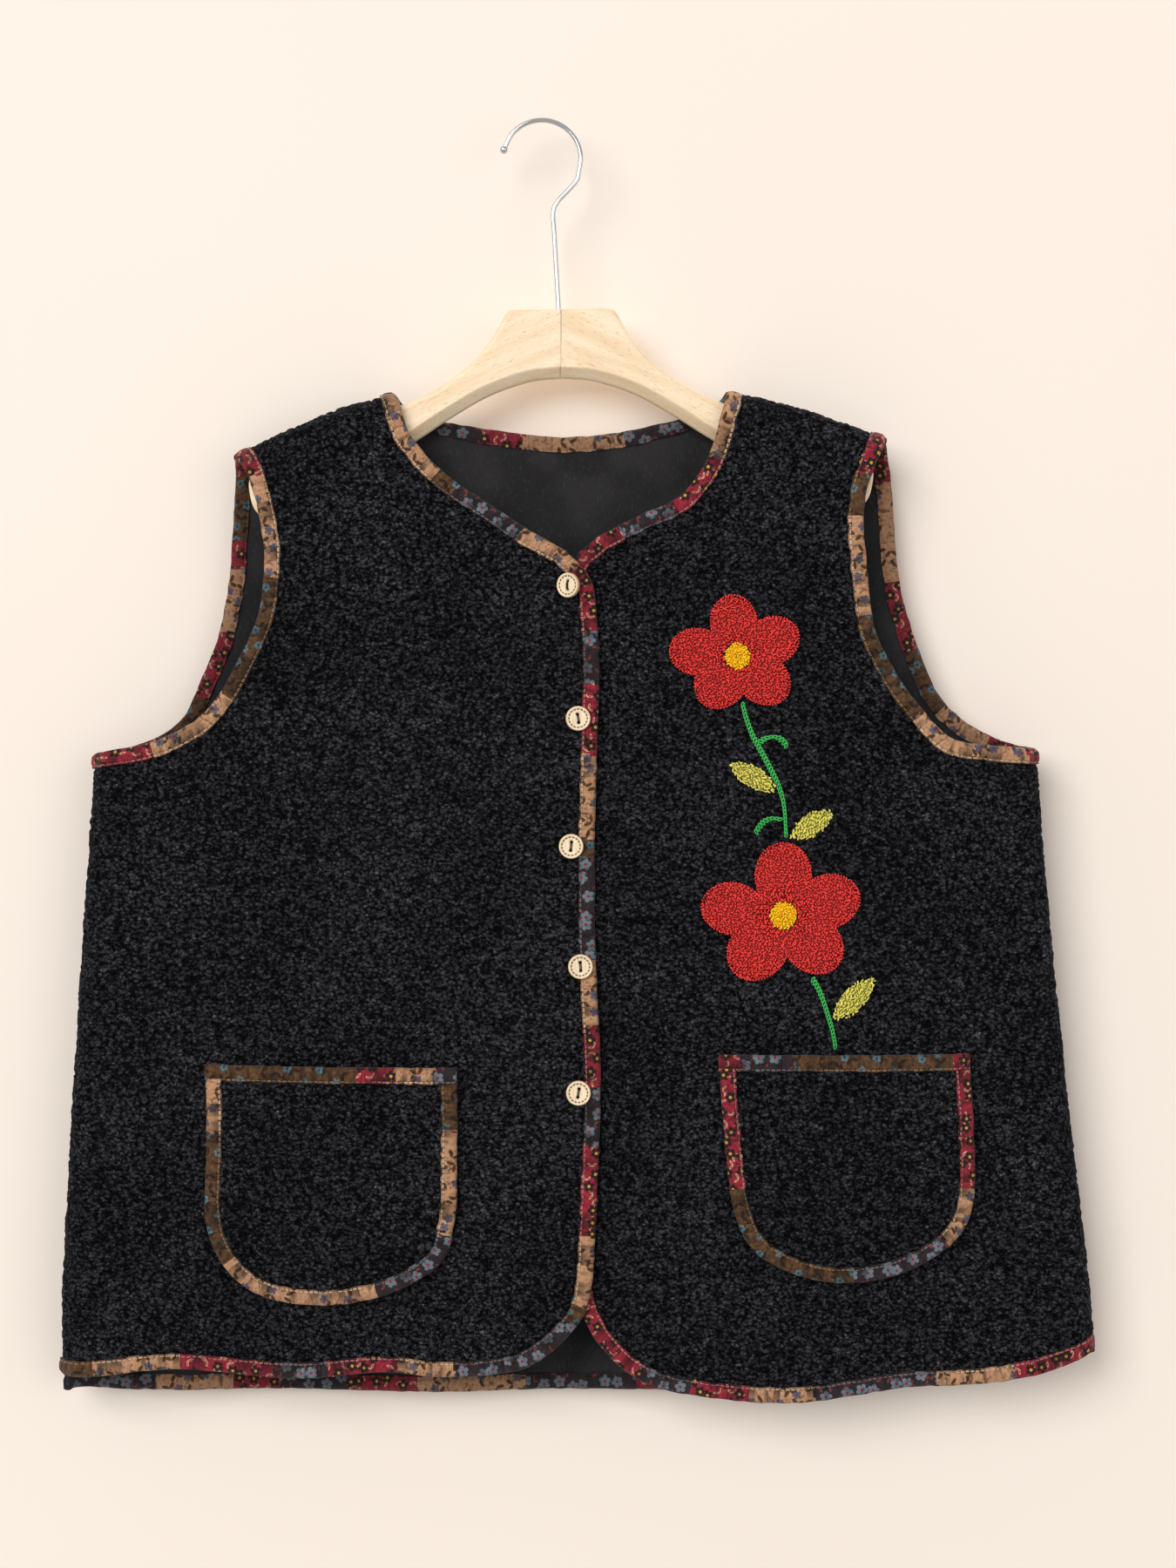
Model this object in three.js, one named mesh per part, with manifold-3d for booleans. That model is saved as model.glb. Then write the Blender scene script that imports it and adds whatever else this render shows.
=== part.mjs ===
// Embroidered sherpa vest on a wooden hanger, in millimetres, +Z up, front towards -Y.
// The origin is the inside of the hook's crown, where a rail or a peg carries everything.
// Right and left are the wearer's, so the right front is on the -X side.
import * as THREE from 'three';
import { mergeVertices } from 'three/addons/utils/BufferGeometryUtils.js';
import Module from 'manifold-3d';

const wasm = await Module();
wasm.setup();

// Driving dimensions of the cloth
const WALL = 4;                 // sherpa with its pile, through the cloth
const TAPE = 1;                 // folded cotton binding, through one leg
const GAP = 0.3;                // clearance kept at every seam
const BINDING_WIDTH = 10;       // from the fold to the stitched edge
const HALF_DEPTH = 13;          // from the side seams' plane to the middle of a wall
const ROLL = 14;                // width over which shoulders and sides round away
const LAP = 7;                  // how far the right front stands over the left one
const LAP_RISE = [-30, 9];      // x where the right front starts and ends its rise

const HALF = WALL / 2;
const LEG_IN = HALF + GAP;
const LEG_OUT = LEG_IN + TAPE;
const SEAM = GAP / 2;
const CLOTH_INSET = TAPE + GAP;

// Sections of the roll at a shoulder or a side, as distances from the seam
const ROLL_ROWS = [0, 30, 60, 90].map((deg) => ROLL * (1 - Math.cos((deg * Math.PI) / 180)));

// Height of the shoulder ridge, columns: x, z
const RIDGE = [
  [-230, -220], [-191, -207.5], [-161, -193.5], [-122, -177], [-97, -170.5], [-60, -163],
  [85, -162], [122, -169], [160, -178], [205, -194], [240, -204],
];
// Side seams, columns: z, x of the right side, x of the left side
const SIDES = [
  [-380, -276, 305.5], [-500, -284, 315], [-610, -291, 326.5], [-725, -297.5, 340], [-800, -296.5, 346],
];

// Fold lines of the bindings, columns: x, z, from the shoulder downwards
const RIGHT_FRONT_EDGE = [
  [-90, -171], [-87, -178], [-80, -197], [-58, -221], [-34, -237], [-9, -254], [14, -267.5], [28.5, -282],
  [33.5, -301], [35.5, -345], [33, -438], [33.5, -518], [36.5, -593], [33.5, -679], [30.5, -722],
  [21.5, -744], [0, -764], [-22, -774], [-60, -777], [-99, -773.5], [-155, -777], [-224, -772],
  [-272, -775.5], [-297, -777],
];
const LEFT_FRONT_EDGE = [
  [114, -169], [111.5, -180], [101.5, -211.5], [85, -233.5], [57, -247], [33, -260], [18, -276],
  [13, -300], [12.5, -400], [12.5, -560], [12.5, -679], [19.5, -719], [34, -754.5], [65, -781],
  [112, -790.5], [160, -791.5], [222, -783.5], [269, -781], [308, -774], [344, -760],
];
const BACK_NECK_EDGE = [
  [-90, -171], [-80, -179], [-62, -184], [-20, -190.5], [12, -193.5], [45, -191], [88, -182],
  [105, -177], [114, -169],
];
const BACK_HEM_EDGE = [
  [-297, -788], [-220, -790], [-60, -791], [70, -790], [170, -787], [261, -779.5], [344, -764],
];
// columns: x, z, from the shoulder tip to the underarm
const ARMHOLES = {
  right_front: [
    [-191, -208], [-182, -219], [-174.5, -243], [-170.7, -274], [-174.5, -306], [-186.5, -334],
    [-203.5, -362.5], [-222, -377], [-246, -386.5], [-276, -392],
  ],
  right_back: [
    [-191, -208], [-193, -232], [-194, -256], [-197, -288], [-203, -318], [-213, -344],
    [-225, -369], [-243, -382.5], [-264, -389], [-276, -392],
  ],
  left_front: [
    [214, -197], [205, -216.5], [199, -240], [200, -270], [204.5, -311], [216, -338], [231.5, -361],
    [252, -382], [275, -387], [306, -389],
  ],
  left_back: [
    [214, -197], [218.5, -219], [221.5, -262], [225, -290], [232, -315], [244, -347], [258, -366],
    [281, -381], [306, -389],
  ],
};

// Patch pockets, columns: x, z round the U from one top corner to the other
const POCKETS = {
  right: [
    [-206, -583], [-205.5, -630], [-206, -677], [-196, -705], [-172, -725], [-134, -731],
    [-94, -724], [-62, -705], [-53, -677], [-51.5, -630], [-52, -585],
  ],
  left: [
    [109, -577], [111.5, -615], [117.5, -669], [131, -698], [162, -714], [192, -717],
    [222, -711], [252, -693], [265, -668], [265.5, -622], [263, -576.5],
  ],
};
const POCKET_LIFT = WALL + TAPE + 2 * GAP;
const POCKET_SWELL = 7;         // how far the middle of a pocket stands out
const POCKET_CORNER = 16;       // height over a pocket's floor where its sides meet its bottom
const POCKET_CELLS = { down: 6, across: 7 };

// Buttons, columns: x, z
const BUTTONS = [[17.5, -289.5], [22.5, -371], [18.5, -449], [24, -522.5], [23, -600]];
const BUTTON_HOLE = { radius: 1.1, spacing: 5 };
const BUTTON_SEGMENTS = 18;
// Half section of a button, columns: radius, height off its back
const BUTTON_PROFILE = [
  [0, 0], [6.8, 0], [7.6, 0.9], [7.6, 2.6], [6.8, 3.4], [5.8, 2.8], [0, 2.8],
];

// Raised flowers, petals as columns: angle in degrees, reach from the middle, half width
const FLOWERS = {
  upper: {
    x: 120.5,
    z: -332.5,
    eye: 8,
    petals: [[24, 41, 14.8], [96, 38.5, 14.5], [173.5, 42.4, 14.5], [236, 36.5, 16], [319, 39.6, 15]],
  },
  lower: {
    x: 149,
    z: -492,
    eye: 8.5,
    petals: [[17.5, 49, 16.5], [90.5, 45.6, 17.6], [172, 51.5, 16], [232, 47, 18], [316, 45.6, 17.2]],
  },
};
const PETAL_OVAL = 1.2;         // half length of a petal's oval over its half width
const PETAL_RISE = 3;
const PETAL_STEPS = 6;
// Rings of a flower from its eye to its rim: share of the way, share of the rise
const PETAL_RINGS = [[0, 0.45], [0.35, 1], [0.8, 1], [1, 0.4]];
const EYE_CELLS = 4;
// Raised leaves, columns: base x, base z, tip x, tip z, width
const LEAVES = [
  [144.3, -415, 116.2, -398.5, 13.4], [153, -444.3, 179, -428, 14.5],
  [179.8, -556.2, 204.7, -530.5, 14.2],
];
const LEAF_TIP = 0.2;           // half width of a leaf at its two ends
const LEAF_FULLNESS = 0.65;     // power of the sine of its length that gives the half width
const STEMS = {
  stem_upper: [
    [123.8, -362], [126, -371], [130, -381.5], [133.8, -388.5], [140.5, -401], [146.3, -413.5],
    [149.2, -425], [150.4, -443.5],
  ],
  stem_lower: [[166.9, -531], [170.3, -537], [173, -543.5], [176.3, -553.7], [179, -563], [181, -573.5]],
  curl_upper: [
    [134.6, -384.9], [137.5, -383], [141, -382.1], [145.3, -382.4], [149.5, -385.7], [151.3, -389.5],
  ],
  curl_lower: [[147.2, -432.6], [142, -431.9], [136.8, -434.3], [133, -439], [131.4, -442.3]],
};
const STEM = { width: 2.5, rise: 1.8, steps: 8 };

// Wooden hanger: the arms' tops lie under the shoulder ridge, and the whole tips to one side
const HANGER = { x: 12, thickness: 13, chamfer: 3, tilt: 0.0165 };
// How far an arm's top lies under the middle of the shoulder cloth, columns: distance, depth
const ARM_TOP = [[104, 6.2], [118, 3.8], [134, 3.8], [148, 3.8], [173, 3.8], [189, 4.4]];
// Outlines from the middle outwards, columns: distance from the middle, z
const HANGER_TOP = [[33, -116.5], [43, -134], [54, -147.5], [68, -159], [83, -168]];
const HANGER_LOW = [
  [194, -222], [190, -238], [178, -243], [150, -231], [95, -199], [70, -183], [45, -169], [22, -161],
];
const ARCH_TOP = -158.7;
const HALF_BOX = 300;           // a box large enough to hold one half of the hanger
// sweep: angle of the ball tip, turn of the crown in degrees, steps along it
const WIRE = { radius: 1.6, crown: 24.3, sweep: [166, 186, 7], ball: 2.6, bore: 2, depth: 22 };
// Stem of the hook from its bend down to its foot in the wood, columns: x, z
const WIRE_STEM = [
  [21.5, -36], [15.5, -43], [9.5, -49.5], [7, -56], [7.8, -70], [10.3, -114], [11.5, -136],
];

const CLOTH = { color: 0x17181b, roughness: 0.95 };
const WOOD = { color: 0xe2bd86, roughness: 0.5 };
const TURNED_WOOD = { color: 0xd9b98c, roughness: 0.45 };
const STEEL = { color: 0xc8cacc, roughness: 0.2, metalness: 1 };
const PRINTS = { red: 0x9c2c3e, tan: 0xc59a74, brown: 0x5f4430, charcoal: 0x352d30 };
const YARNS = { petal: 0xb5202c, eye: 0xf0b51c, leaf: 0xb9b255, stem: 0x2f9a4a };

const model = new THREE.Group();

function addPiece(name, geometry, look) {
  const piece = new THREE.Mesh(geometry, new THREE.MeshStandardMaterial({ metalness: 0, ...look }));
  piece.name = name;
  model.add(piece);
}

// A closed geometry as a solid for cuts and joins, and back
function toSolid(geometry) {
  const plain = geometry.index ? geometry.clone() : mergeVertices(geometry.clone());
  plain.deleteAttribute('normal');
  plain.deleteAttribute('uv');
  const merged = mergeVertices(plain, 1e-4);
  const vertProperties = new Float32Array(merged.attributes.position.array);
  const triVerts = new Uint32Array(merged.index.array);
  return new wasm.Manifold(new wasm.Mesh({ numProp: 3, vertProperties, triVerts }));
}
function toGeometry(solid) {
  const { vertProperties, triVerts } = solid.getMesh();
  const geometry = new THREE.BufferGeometry();
  geometry.setAttribute('position', new THREE.BufferAttribute(vertProperties, 3));
  geometry.setIndex(new THREE.BufferAttribute(triVerts, 1));
  return geometry;
}

// Reads a table by straight lines between its rows
function readTable(rows, at, column) {
  const rising = rows[rows.length - 1][0] > rows[0][0];
  let k = 1;
  while (k < rows.length - 1 && (rising ? at > rows[k][0] : at < rows[k][0])) k += 1;
  const share = (at - rows[k - 1][0]) / (rows[k][0] - rows[k - 1][0]);
  return THREE.MathUtils.lerp(rows[k - 1][column], rows[k][column], share);
}

const ridge = (x) => readTable(RIDGE, x, 1) - HALF;
const sideLine = (hand, z) => readTable(SIDES, z, hand < 0 ? 1 : 2) - hand * HALF;

// A quarter round: 0 at the seam and 1 from ROLL inwards
function rollShare(distance) {
  const rest = 1 - THREE.MathUtils.clamp(distance / ROLL, 0, 1);
  return Math.sqrt(1 - rest * rest);
}

// Depth of the middle of a wall behind the side seams' plane, with the roll at the top and sides
function roundedDepth(x, z, full) {
  const top = rollShare(ridge(x) - z);
  const sides = rollShare(x - sideLine(-1, z)) * rollShare(sideLine(1, z) - x);
  return SEAM + (full - SEAM) * top * sides;
}

// The hem flutes softly over its last stretch
function hemFlute(x, z) {
  return 2.5 * THREE.MathUtils.smoothstep(-z, 738, 785) * Math.sin((x + 20) / 24);
}

// Soft upright folds down the back
function backFold(x, z) {
  return 3.5 * THREE.MathUtils.smoothstep(-z, 430, 640) * Math.cos((x - 12) / 27);
}

const SURFACES = {
  back: (x, z) => roundedDepth(x, z, HALF_DEPTH + backFold(x, z)),
  left_front: (x, z) => -roundedDepth(x, z, HALF_DEPTH + hemFlute(x, z)),
  right_front: (x, z) => {
    const lap = LAP * THREE.MathUtils.smoothstep(x, ...LAP_RISE);
    return -roundedDepth(x, z, HALF_DEPTH + hemFlute(x, z)) - lap;
  },
};

// A smooth line through table points, read by its length in mm
function smoothPath(points) {
  const curve = new THREE.SplineCurve(points.map(([x, z]) => new THREE.Vector2(x, z)));
  curve.arcLengthDivisions = 600;
  const length = curve.getLength();
  const at = (s) => curve.getPointAt(THREE.MathUtils.clamp(s / length, 0, 1));
  const heading = (s) => curve.getTangentAt(THREE.MathUtils.clamp(s / length, 0, 1));
  return { length, at, heading };
}

// The length along a path at which a falling measure first reaches a value
function reach(path, measure, from = 0) {
  const step = 0.25;
  let s = from;
  while (s < path.length && measure(path.at(s)) > 0) s += step;
  return Math.min(s, path.length);
}

// Evenly spaced values after the first one, up to and with the last one
function spread(from, to, count) {
  return Array.from({ length: count }, (_, k) => from + ((to - from) * (k + 1)) / count);
}

// Stations along a fold line: each gives the point at a distance into the cloth. Close under the
// ridge they follow the shoulder line, close to a side seam the seam, and elsewhere they are square.
function squareStation(path, s, hand) {
  const p = path.at(s);
  const t = path.heading(s);
  return (d) => [p.x - hand * t.y * d, p.y + hand * t.x * d];
}
function ridgeStation(path, depth, hand) {
  const s = depth === 0 ? 0 : reach(path, (p) => p.y - ridge(p.x) + depth);
  const { x } = path.at(s);
  return (d) => [x + hand * d, ridge(x + hand * d) - depth];
}
function sideStation(path, distance, side, up) {
  const s = reach(path, (p) => side * (sideLine(side, p.y) - p.x) - distance, path.length / 2);
  const { y } = path.at(s);
  return (d) => [sideLine(side, y + up * d) - side * distance, y + up * d];
}

// A cloth under construction: points with their depth, and four-sided cells
class Cloth {
  constructor(depth) {
    this.depth = depth;
    this.points = [];
    this.seams = [];
    this.cells = [];
  }

  add([x, z], onSeam = false) {
    this.points.push(new THREE.Vector3(x, this.depth(x, z), z));
    this.seams.push(onSeam);
    return this.points.length - 1;
  }

  cell(a, b, c, d) {
    this.cells.push([a, b, c, d]);
  }

  normals() {
    if (this.cachedNormals) return this.cachedNormals;
    const sums = this.points.map(() => new THREE.Vector3());
    const side = new THREE.Vector3();
    for (const cell of this.cells) {
      const [a, b, c, d] = cell.map((k) => this.points[k]);
      side.crossVectors(c.clone().sub(a), d.clone().sub(b));
      const front = a.y + b.y + c.y + d.y < 0 ? -1 : 1;
      if (side.y * front < 0) side.negate();
      cell.forEach((k) => sums[k].add(side));
    }
    sums.forEach((normal, k) => {
      if (this.seams[k]) normal.y = 0;
      normal.normalize();
    });
    this.cachedNormals = sums;
    return sums;
  }

  // The cloth's points moved off its middle by a distance
  moved(index, distance) {
    return this.points[index].clone().addScaledVector(this.normals()[index], distance);
  }

  // The closed wall between two distances off the middle; rise scales it at each point
  wall(inner = -HALF, outer = HALF, rise = () => 1) {
    const count = this.points.length;
    const positions = [
      ...this.points.map((_, k) => this.moved(k, inner + (outer - inner) * rise(k))),
      ...this.points.map((_, k) => this.moved(k, inner)),
    ];
    const faces = [];
    const rims = new Map();
    for (const [a, b, c, d] of this.cells) {
      faces.push([a, b, c], [a, c, d]);
      faces.push([a + count, c + count, b + count], [a + count, d + count, c + count]);
      for (const [p, q] of [[a, b], [b, c], [c, d], [d, a]]) {
        const back = `${q}_${p}`;
        if (rims.has(back)) rims.delete(back);
        else rims.set(`${p}_${q}`, [p, q]);
      }
    }
    for (const [p, q] of rims.values()) {
      faces.push([q, p, p + count], [q, p + count, q + count]);
    }
    return closedGeometry(positions, faces);
  }
}

// Makes one closed body, with its faces outwards, and drops the points that no face uses
function closedGeometry(positions, faces) {
  let volume = 0;
  for (const [a, b, c] of faces) {
    volume += positions[a].dot(new THREE.Vector3().crossVectors(positions[b], positions[c]));
  }
  const geometry = new THREE.BufferGeometry();
  geometry.setAttribute(
    'position',
    new THREE.Float32BufferAttribute(positions.flatMap((p) => p.toArray()), 3),
  );
  geometry.setIndex(faces.flatMap(([a, b, c]) => (volume > 0 ? [a, b, c] : [a, c, b])));
  return mergeVertices(geometry, 1e-4);
}

// Section of a folded binding, columns: 1 at the cloth's edge or 0 at the stitched side,
// reach past that point, height off the cloth's middle
const BINDING_SECTION = [
  [0, 0, LEG_OUT], [1, 0.2, LEG_OUT], [1, CLOTH_INSET, LEG_IN], [1, CLOTH_INSET, -LEG_IN],
  [1, 0.2, -LEG_OUT], [0, 0, -LEG_OUT], [0, 0, -LEG_IN], [1, GAP, -LEG_IN], [1, GAP, LEG_IN],
  [0, 0, LEG_IN],
];

// Folds a tape over a cloth's edge, from the cloth's own points; trim shortens its legs
function foldBinding(cloth, pairs, trim = 0) {
  const positions = [];
  const out = new THREE.Vector3();
  for (const [edge, inner] of pairs) {
    out.subVectors(cloth.points[edge], cloth.points[inner]).normalize();
    for (const [atEdge, past, height] of BINDING_SECTION) {
      const point = cloth.moved(atEdge ? edge : inner, height);
      positions.push(point.addScaledVector(out, atEdge ? past : past + trim));
    }
  }
  const sides = BINDING_SECTION.length;
  const faces = [];
  for (let k = 0; k + 1 < pairs.length; k += 1) {
    for (let j = 0; j < sides; j += 1) {
      const next = (j + 1) % sides;
      const [a, b, c, d] = [k * sides + j, k * sides + next, (k + 1) * sides + next, (k + 1) * sides + j];
      if (BINDING_SECTION[j][0]) faces.push([a, b, c], [a, c, d]);
      else faces.push([a, b, d], [b, c, d]);
    }
  }
  const flat = BINDING_SECTION.map(
    ([atEdge, past, height]) => new THREE.Vector2(atEdge * BINDING_WIDTH + past, height),
  );
  const last = (pairs.length - 1) * sides;
  for (const [a, b, c] of THREE.ShapeUtils.triangulateShape(flat, [])) {
    faces.push([c, b, a], [last + a, last + b, last + c]);
  }
  return closedGeometry(positions, orientCaps(faces, last, sides));
}

// Turns the end caps so that each shared edge runs both ways
function orientCaps(faces, last, sides) {
  const inWall = new Set();
  faces.forEach((face) => {
    if (!isCap(face, last, sides)) face.forEach((p, k) => inWall.add(`${p}_${face[(k + 1) % 3]}`));
  });
  const clash = (face) => face.some((p, k) => inWall.has(`${p}_${face[(k + 1) % 3]}`));
  for (const group of [0, last]) {
    const caps = faces.filter((face) => face.every((p) => p >= group && p < group + sides));
    if (caps.some(clash)) caps.forEach((face) => face.reverse());
  }
  return faces;
}

function isCap(face, last, sides) {
  return face.every((p) => p < sides) || face.every((p) => p >= last);
}

// Adds a row of strip cells between a cloth's edge points and their inner neighbours
function addStrip(cloth, edges, inners) {
  for (let k = 0; k + 1 < edges.length; k += 1) {
    cloth.cell(edges[k], edges[k + 1], inners[k + 1], inners[k]);
  }
  return edges.map((edge, k) => [edge, inners[k]]);
}

// Rows and columns of the cloths' grids
const ROLLS = ROLL_ROWS.length - 1;
const ARMHOLE_ROWS = 7;
const LOWER_ROWS = 13;
const HEM_ROWS = 5;             // rows over which a cloth takes on its hem's line
const UNDERARM_ROW = ROLLS + ARMHOLE_ROWS + ROLLS;
const UNDERARM_LEVEL = 410;     // depth of the front edge's station in the underarm's row
const CORNER_LEVEL = 700;       // depth where a front's lower corner has not begun yet

// Stations down an armhole from the ridge to the underarm; side is -1 on the wearer's right
function armholeStations(table, side) {
  const path = smoothPath(table);
  const nearSeam = (distance) => reach(
    path,
    (p) => side * (sideLine(side, p.y) - p.x) - distance,
    path.length / 2,
  );
  const start = reach(path, (p) => p.y - ridge(p.x) + ROLL);
  return [
    ...ROLL_ROWS.map((depth) => ridgeStation(path, depth, -side)),
    ...spread(start, nearSeam(ROLL), ARMHOLE_ROWS).map((s) => squareStation(path, s, -side)),
    ...ROLL_ROWS.slice(0, -1).reverse().map((distance) => sideStation(path, distance, side, -1)),
  ];
}

// Shares across a row: even above the armhole's foot, and with the side roll's columns below it
function rowShares(row, columns, width, rolledEnds) {
  const even = Array.from({ length: columns + 1 }, (_, k) => k / columns);
  const blend = THREE.MathUtils.clamp((row - UNDERARM_ROW + 6) / 3, 0, 1);
  return even.map((share, k) => {
    let rolled = share;
    const middle = width - rolledEnds * ROLL;
    const count = columns - rolledEnds * ROLLS;
    if (k <= ROLLS) rolled = ROLL_ROWS[k] / width;
    else if (rolledEnds === 2 && k >= columns - ROLLS) rolled = 1 - ROLL_ROWS[columns - k] / width;
    else rolled = (ROLL + (middle * (k - ROLLS)) / count) / width;
    return THREE.MathUtils.lerp(share, rolled, blend);
  });
}

// One front: rows run from the armhole or side seam to the neckline or front edge
function buildFront(name, side, edgeTable, cornerX, columns) {
  const cloth = new Cloth(SURFACES[`${name}_front`]);
  const armhole = armholeStations(ARMHOLES[`${name}_front`], side);
  const path = smoothPath(edgeTable);
  const rows = UNDERARM_ROW + LOWER_ROWS;
  const rollEnd = reach(path, (p) => p.y - ridge(p.x) + ROLL);
  const level = reach(path, (p) => p.y + UNDERARM_LEVEL);
  const corner = reach(path, (p) => p.y + CORNER_LEVEL);
  const turned = reach(path, (p) => -side * (p.x - cornerX), corner);
  const seamStart = reach(path, (p) => side * (sideLine(side, p.y) - p.x) - ROLL, turned);
  const front = [
    ...ROLL_ROWS.map((depth) => ridgeStation(path, depth, side)),
    ...spread(rollEnd, level, UNDERARM_ROW - ROLLS).map((s) => squareStation(path, s, side)),
    ...spread(level, turned, LOWER_ROWS).map((s) => squareStation(path, s, side)),
  ];
  const hem = [
    ...spread(turned, seamStart, columns - ROLLS).map((s) => squareStation(path, s, side)),
    ...ROLL_ROWS.slice(0, -1).reverse().map((distance) => sideStation(path, distance, side, 1)),
  ];
  const W = BINDING_WIDTH;
  const underarm = armhole[armhole.length - 1](W);
  const hemEnd = hem[hem.length - 1](W);
  const grid = [];
  for (let row = 0; row <= rows; row += 1) {
    const fall = (row - UNDERARM_ROW) / LOWER_ROWS;
    const z = THREE.MathUtils.lerp(underarm[1], hemEnd[1], fall);
    const outer = row <= UNDERARM_ROW ? armhole[row](W) : [sideLine(side, z), z];
    const inner = front[row](W);
    const shares = rowShares(row, columns, Math.abs(inner[0] - outer[0]), 1);
    grid.push(shares.map((share, k) => {
      let point = [
        THREE.MathUtils.lerp(outer[0], inner[0], share),
        THREE.MathUtils.lerp(outer[1], inner[1], share),
      ];
      if (row <= ROLLS) point = [point[0], ridge(point[0]) - ROLL_ROWS[row]];
      const low = k === columns ? inner : hem[columns - 1 - k](W);
      const drop = THREE.MathUtils.smoothstep(row, rows - HEM_ROWS, rows);
      if (drop > 0 && k > 0) {
        const base = THREE.MathUtils.lerp(hemEnd[1], front[rows](W)[1], share);
        if (k < columns) point[1] += (low[1] - base) * drop;
        if (row === rows) point = low;
      }
      if (row >= UNDERARM_ROW && k <= ROLLS) {
        point[0] = sideLine(side, point[1]) - side * ROLL_ROWS[k];
      }
      return cloth.add(point, row === 0 || (k === 0 && row >= UNDERARM_ROW));
    }));
  }
  for (let row = 0; row < rows; row += 1) {
    for (let k = 0; k < columns; k += 1) {
      cloth.cell(grid[row][k], grid[row + 1][k], grid[row + 1][k + 1], grid[row][k + 1]);
    }
  }
  const armEdges = armhole.map((station, k) => cloth.add(
    station(CLOTH_INSET),
    k === 0 || k === UNDERARM_ROW,
  ));
  const armInners = grid.slice(0, UNDERARM_ROW + 1).map((row) => row[0]);
  const frontEdges = [...front, ...hem].map((station, k, all) => cloth.add(
    station(CLOTH_INSET),
    k === 0 || k === all.length - 1,
  ));
  const frontInners = [...grid.map((row) => row[columns]), ...grid[rows].slice(0, -1).reverse()];
  const armPairs = addStrip(cloth, armEdges, armInners);
  const frontPairs = addStrip(cloth, frontEdges.reverse(), frontInners.reverse());
  addPiece(`${name}_front`, cloth.wall(), CLOTH);
  addPiece(`${name}_front_binding`, foldBinding(cloth, frontPairs), { color: PRINTS.charcoal });
  addPiece(`${name}_armhole_front_binding`, foldBinding(cloth, armPairs), { color: PRINTS.tan });
}

const BACK_COLUMNS = 22;
const SHOULDER_COLUMNS = 5;
const NECK_ROW = ROLLS + 1;
const NECK_DROP = 22;           // depth under the ridge where the back neckline turns flat
const NECK_EASE = [5, 7];       // rows below the neckline that even out its columns and its dip

// Stations along the back neckline, from one shoulder point to the other
function neckStations() {
  const path = smoothPath(BACK_NECK_EDGE);
  const mirrored = smoothPath([...BACK_NECK_EDGE].reverse());
  const turn = (line) => reach(line, (p) => p.y - ridge(p.x) + NECK_DROP);
  const flat = spread(turn(path), path.length - turn(mirrored), BACK_COLUMNS - 2 * SHOULDER_COLUMNS);
  return [
    ...ROLL_ROWS.map((depth) => ridgeStation(path, depth, -1)),
    squareStation(path, turn(path), -1),
    ...flat.map((s) => squareStation(path, s, -1)),
    ...[...ROLL_ROWS].reverse().map((depth) => ridgeStation(mirrored, depth, 1)),
  ];
}

// Stations along the back hem, from the right side seam to the left one
function backHemStations() {
  const path = smoothPath(BACK_HEM_EDGE);
  const mirrored = smoothPath([...BACK_HEM_EDGE].reverse());
  const nearSeam = (line, side) => reach(line, (p) => side * (sideLine(side, p.y) - p.x) - ROLL);
  const flat = spread(path.length - nearSeam(mirrored, -1), nearSeam(path, 1), BACK_COLUMNS - 2 * ROLLS);
  return [
    ...ROLL_ROWS.map((distance) => sideStation(mirrored, distance, -1, 1)),
    ...flat.slice(0, -1).map((s) => squareStation(path, s, 1)),
    ...[...ROLL_ROWS].reverse().map((distance) => sideStation(path, distance, 1, 1)),
  ];
}

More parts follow.
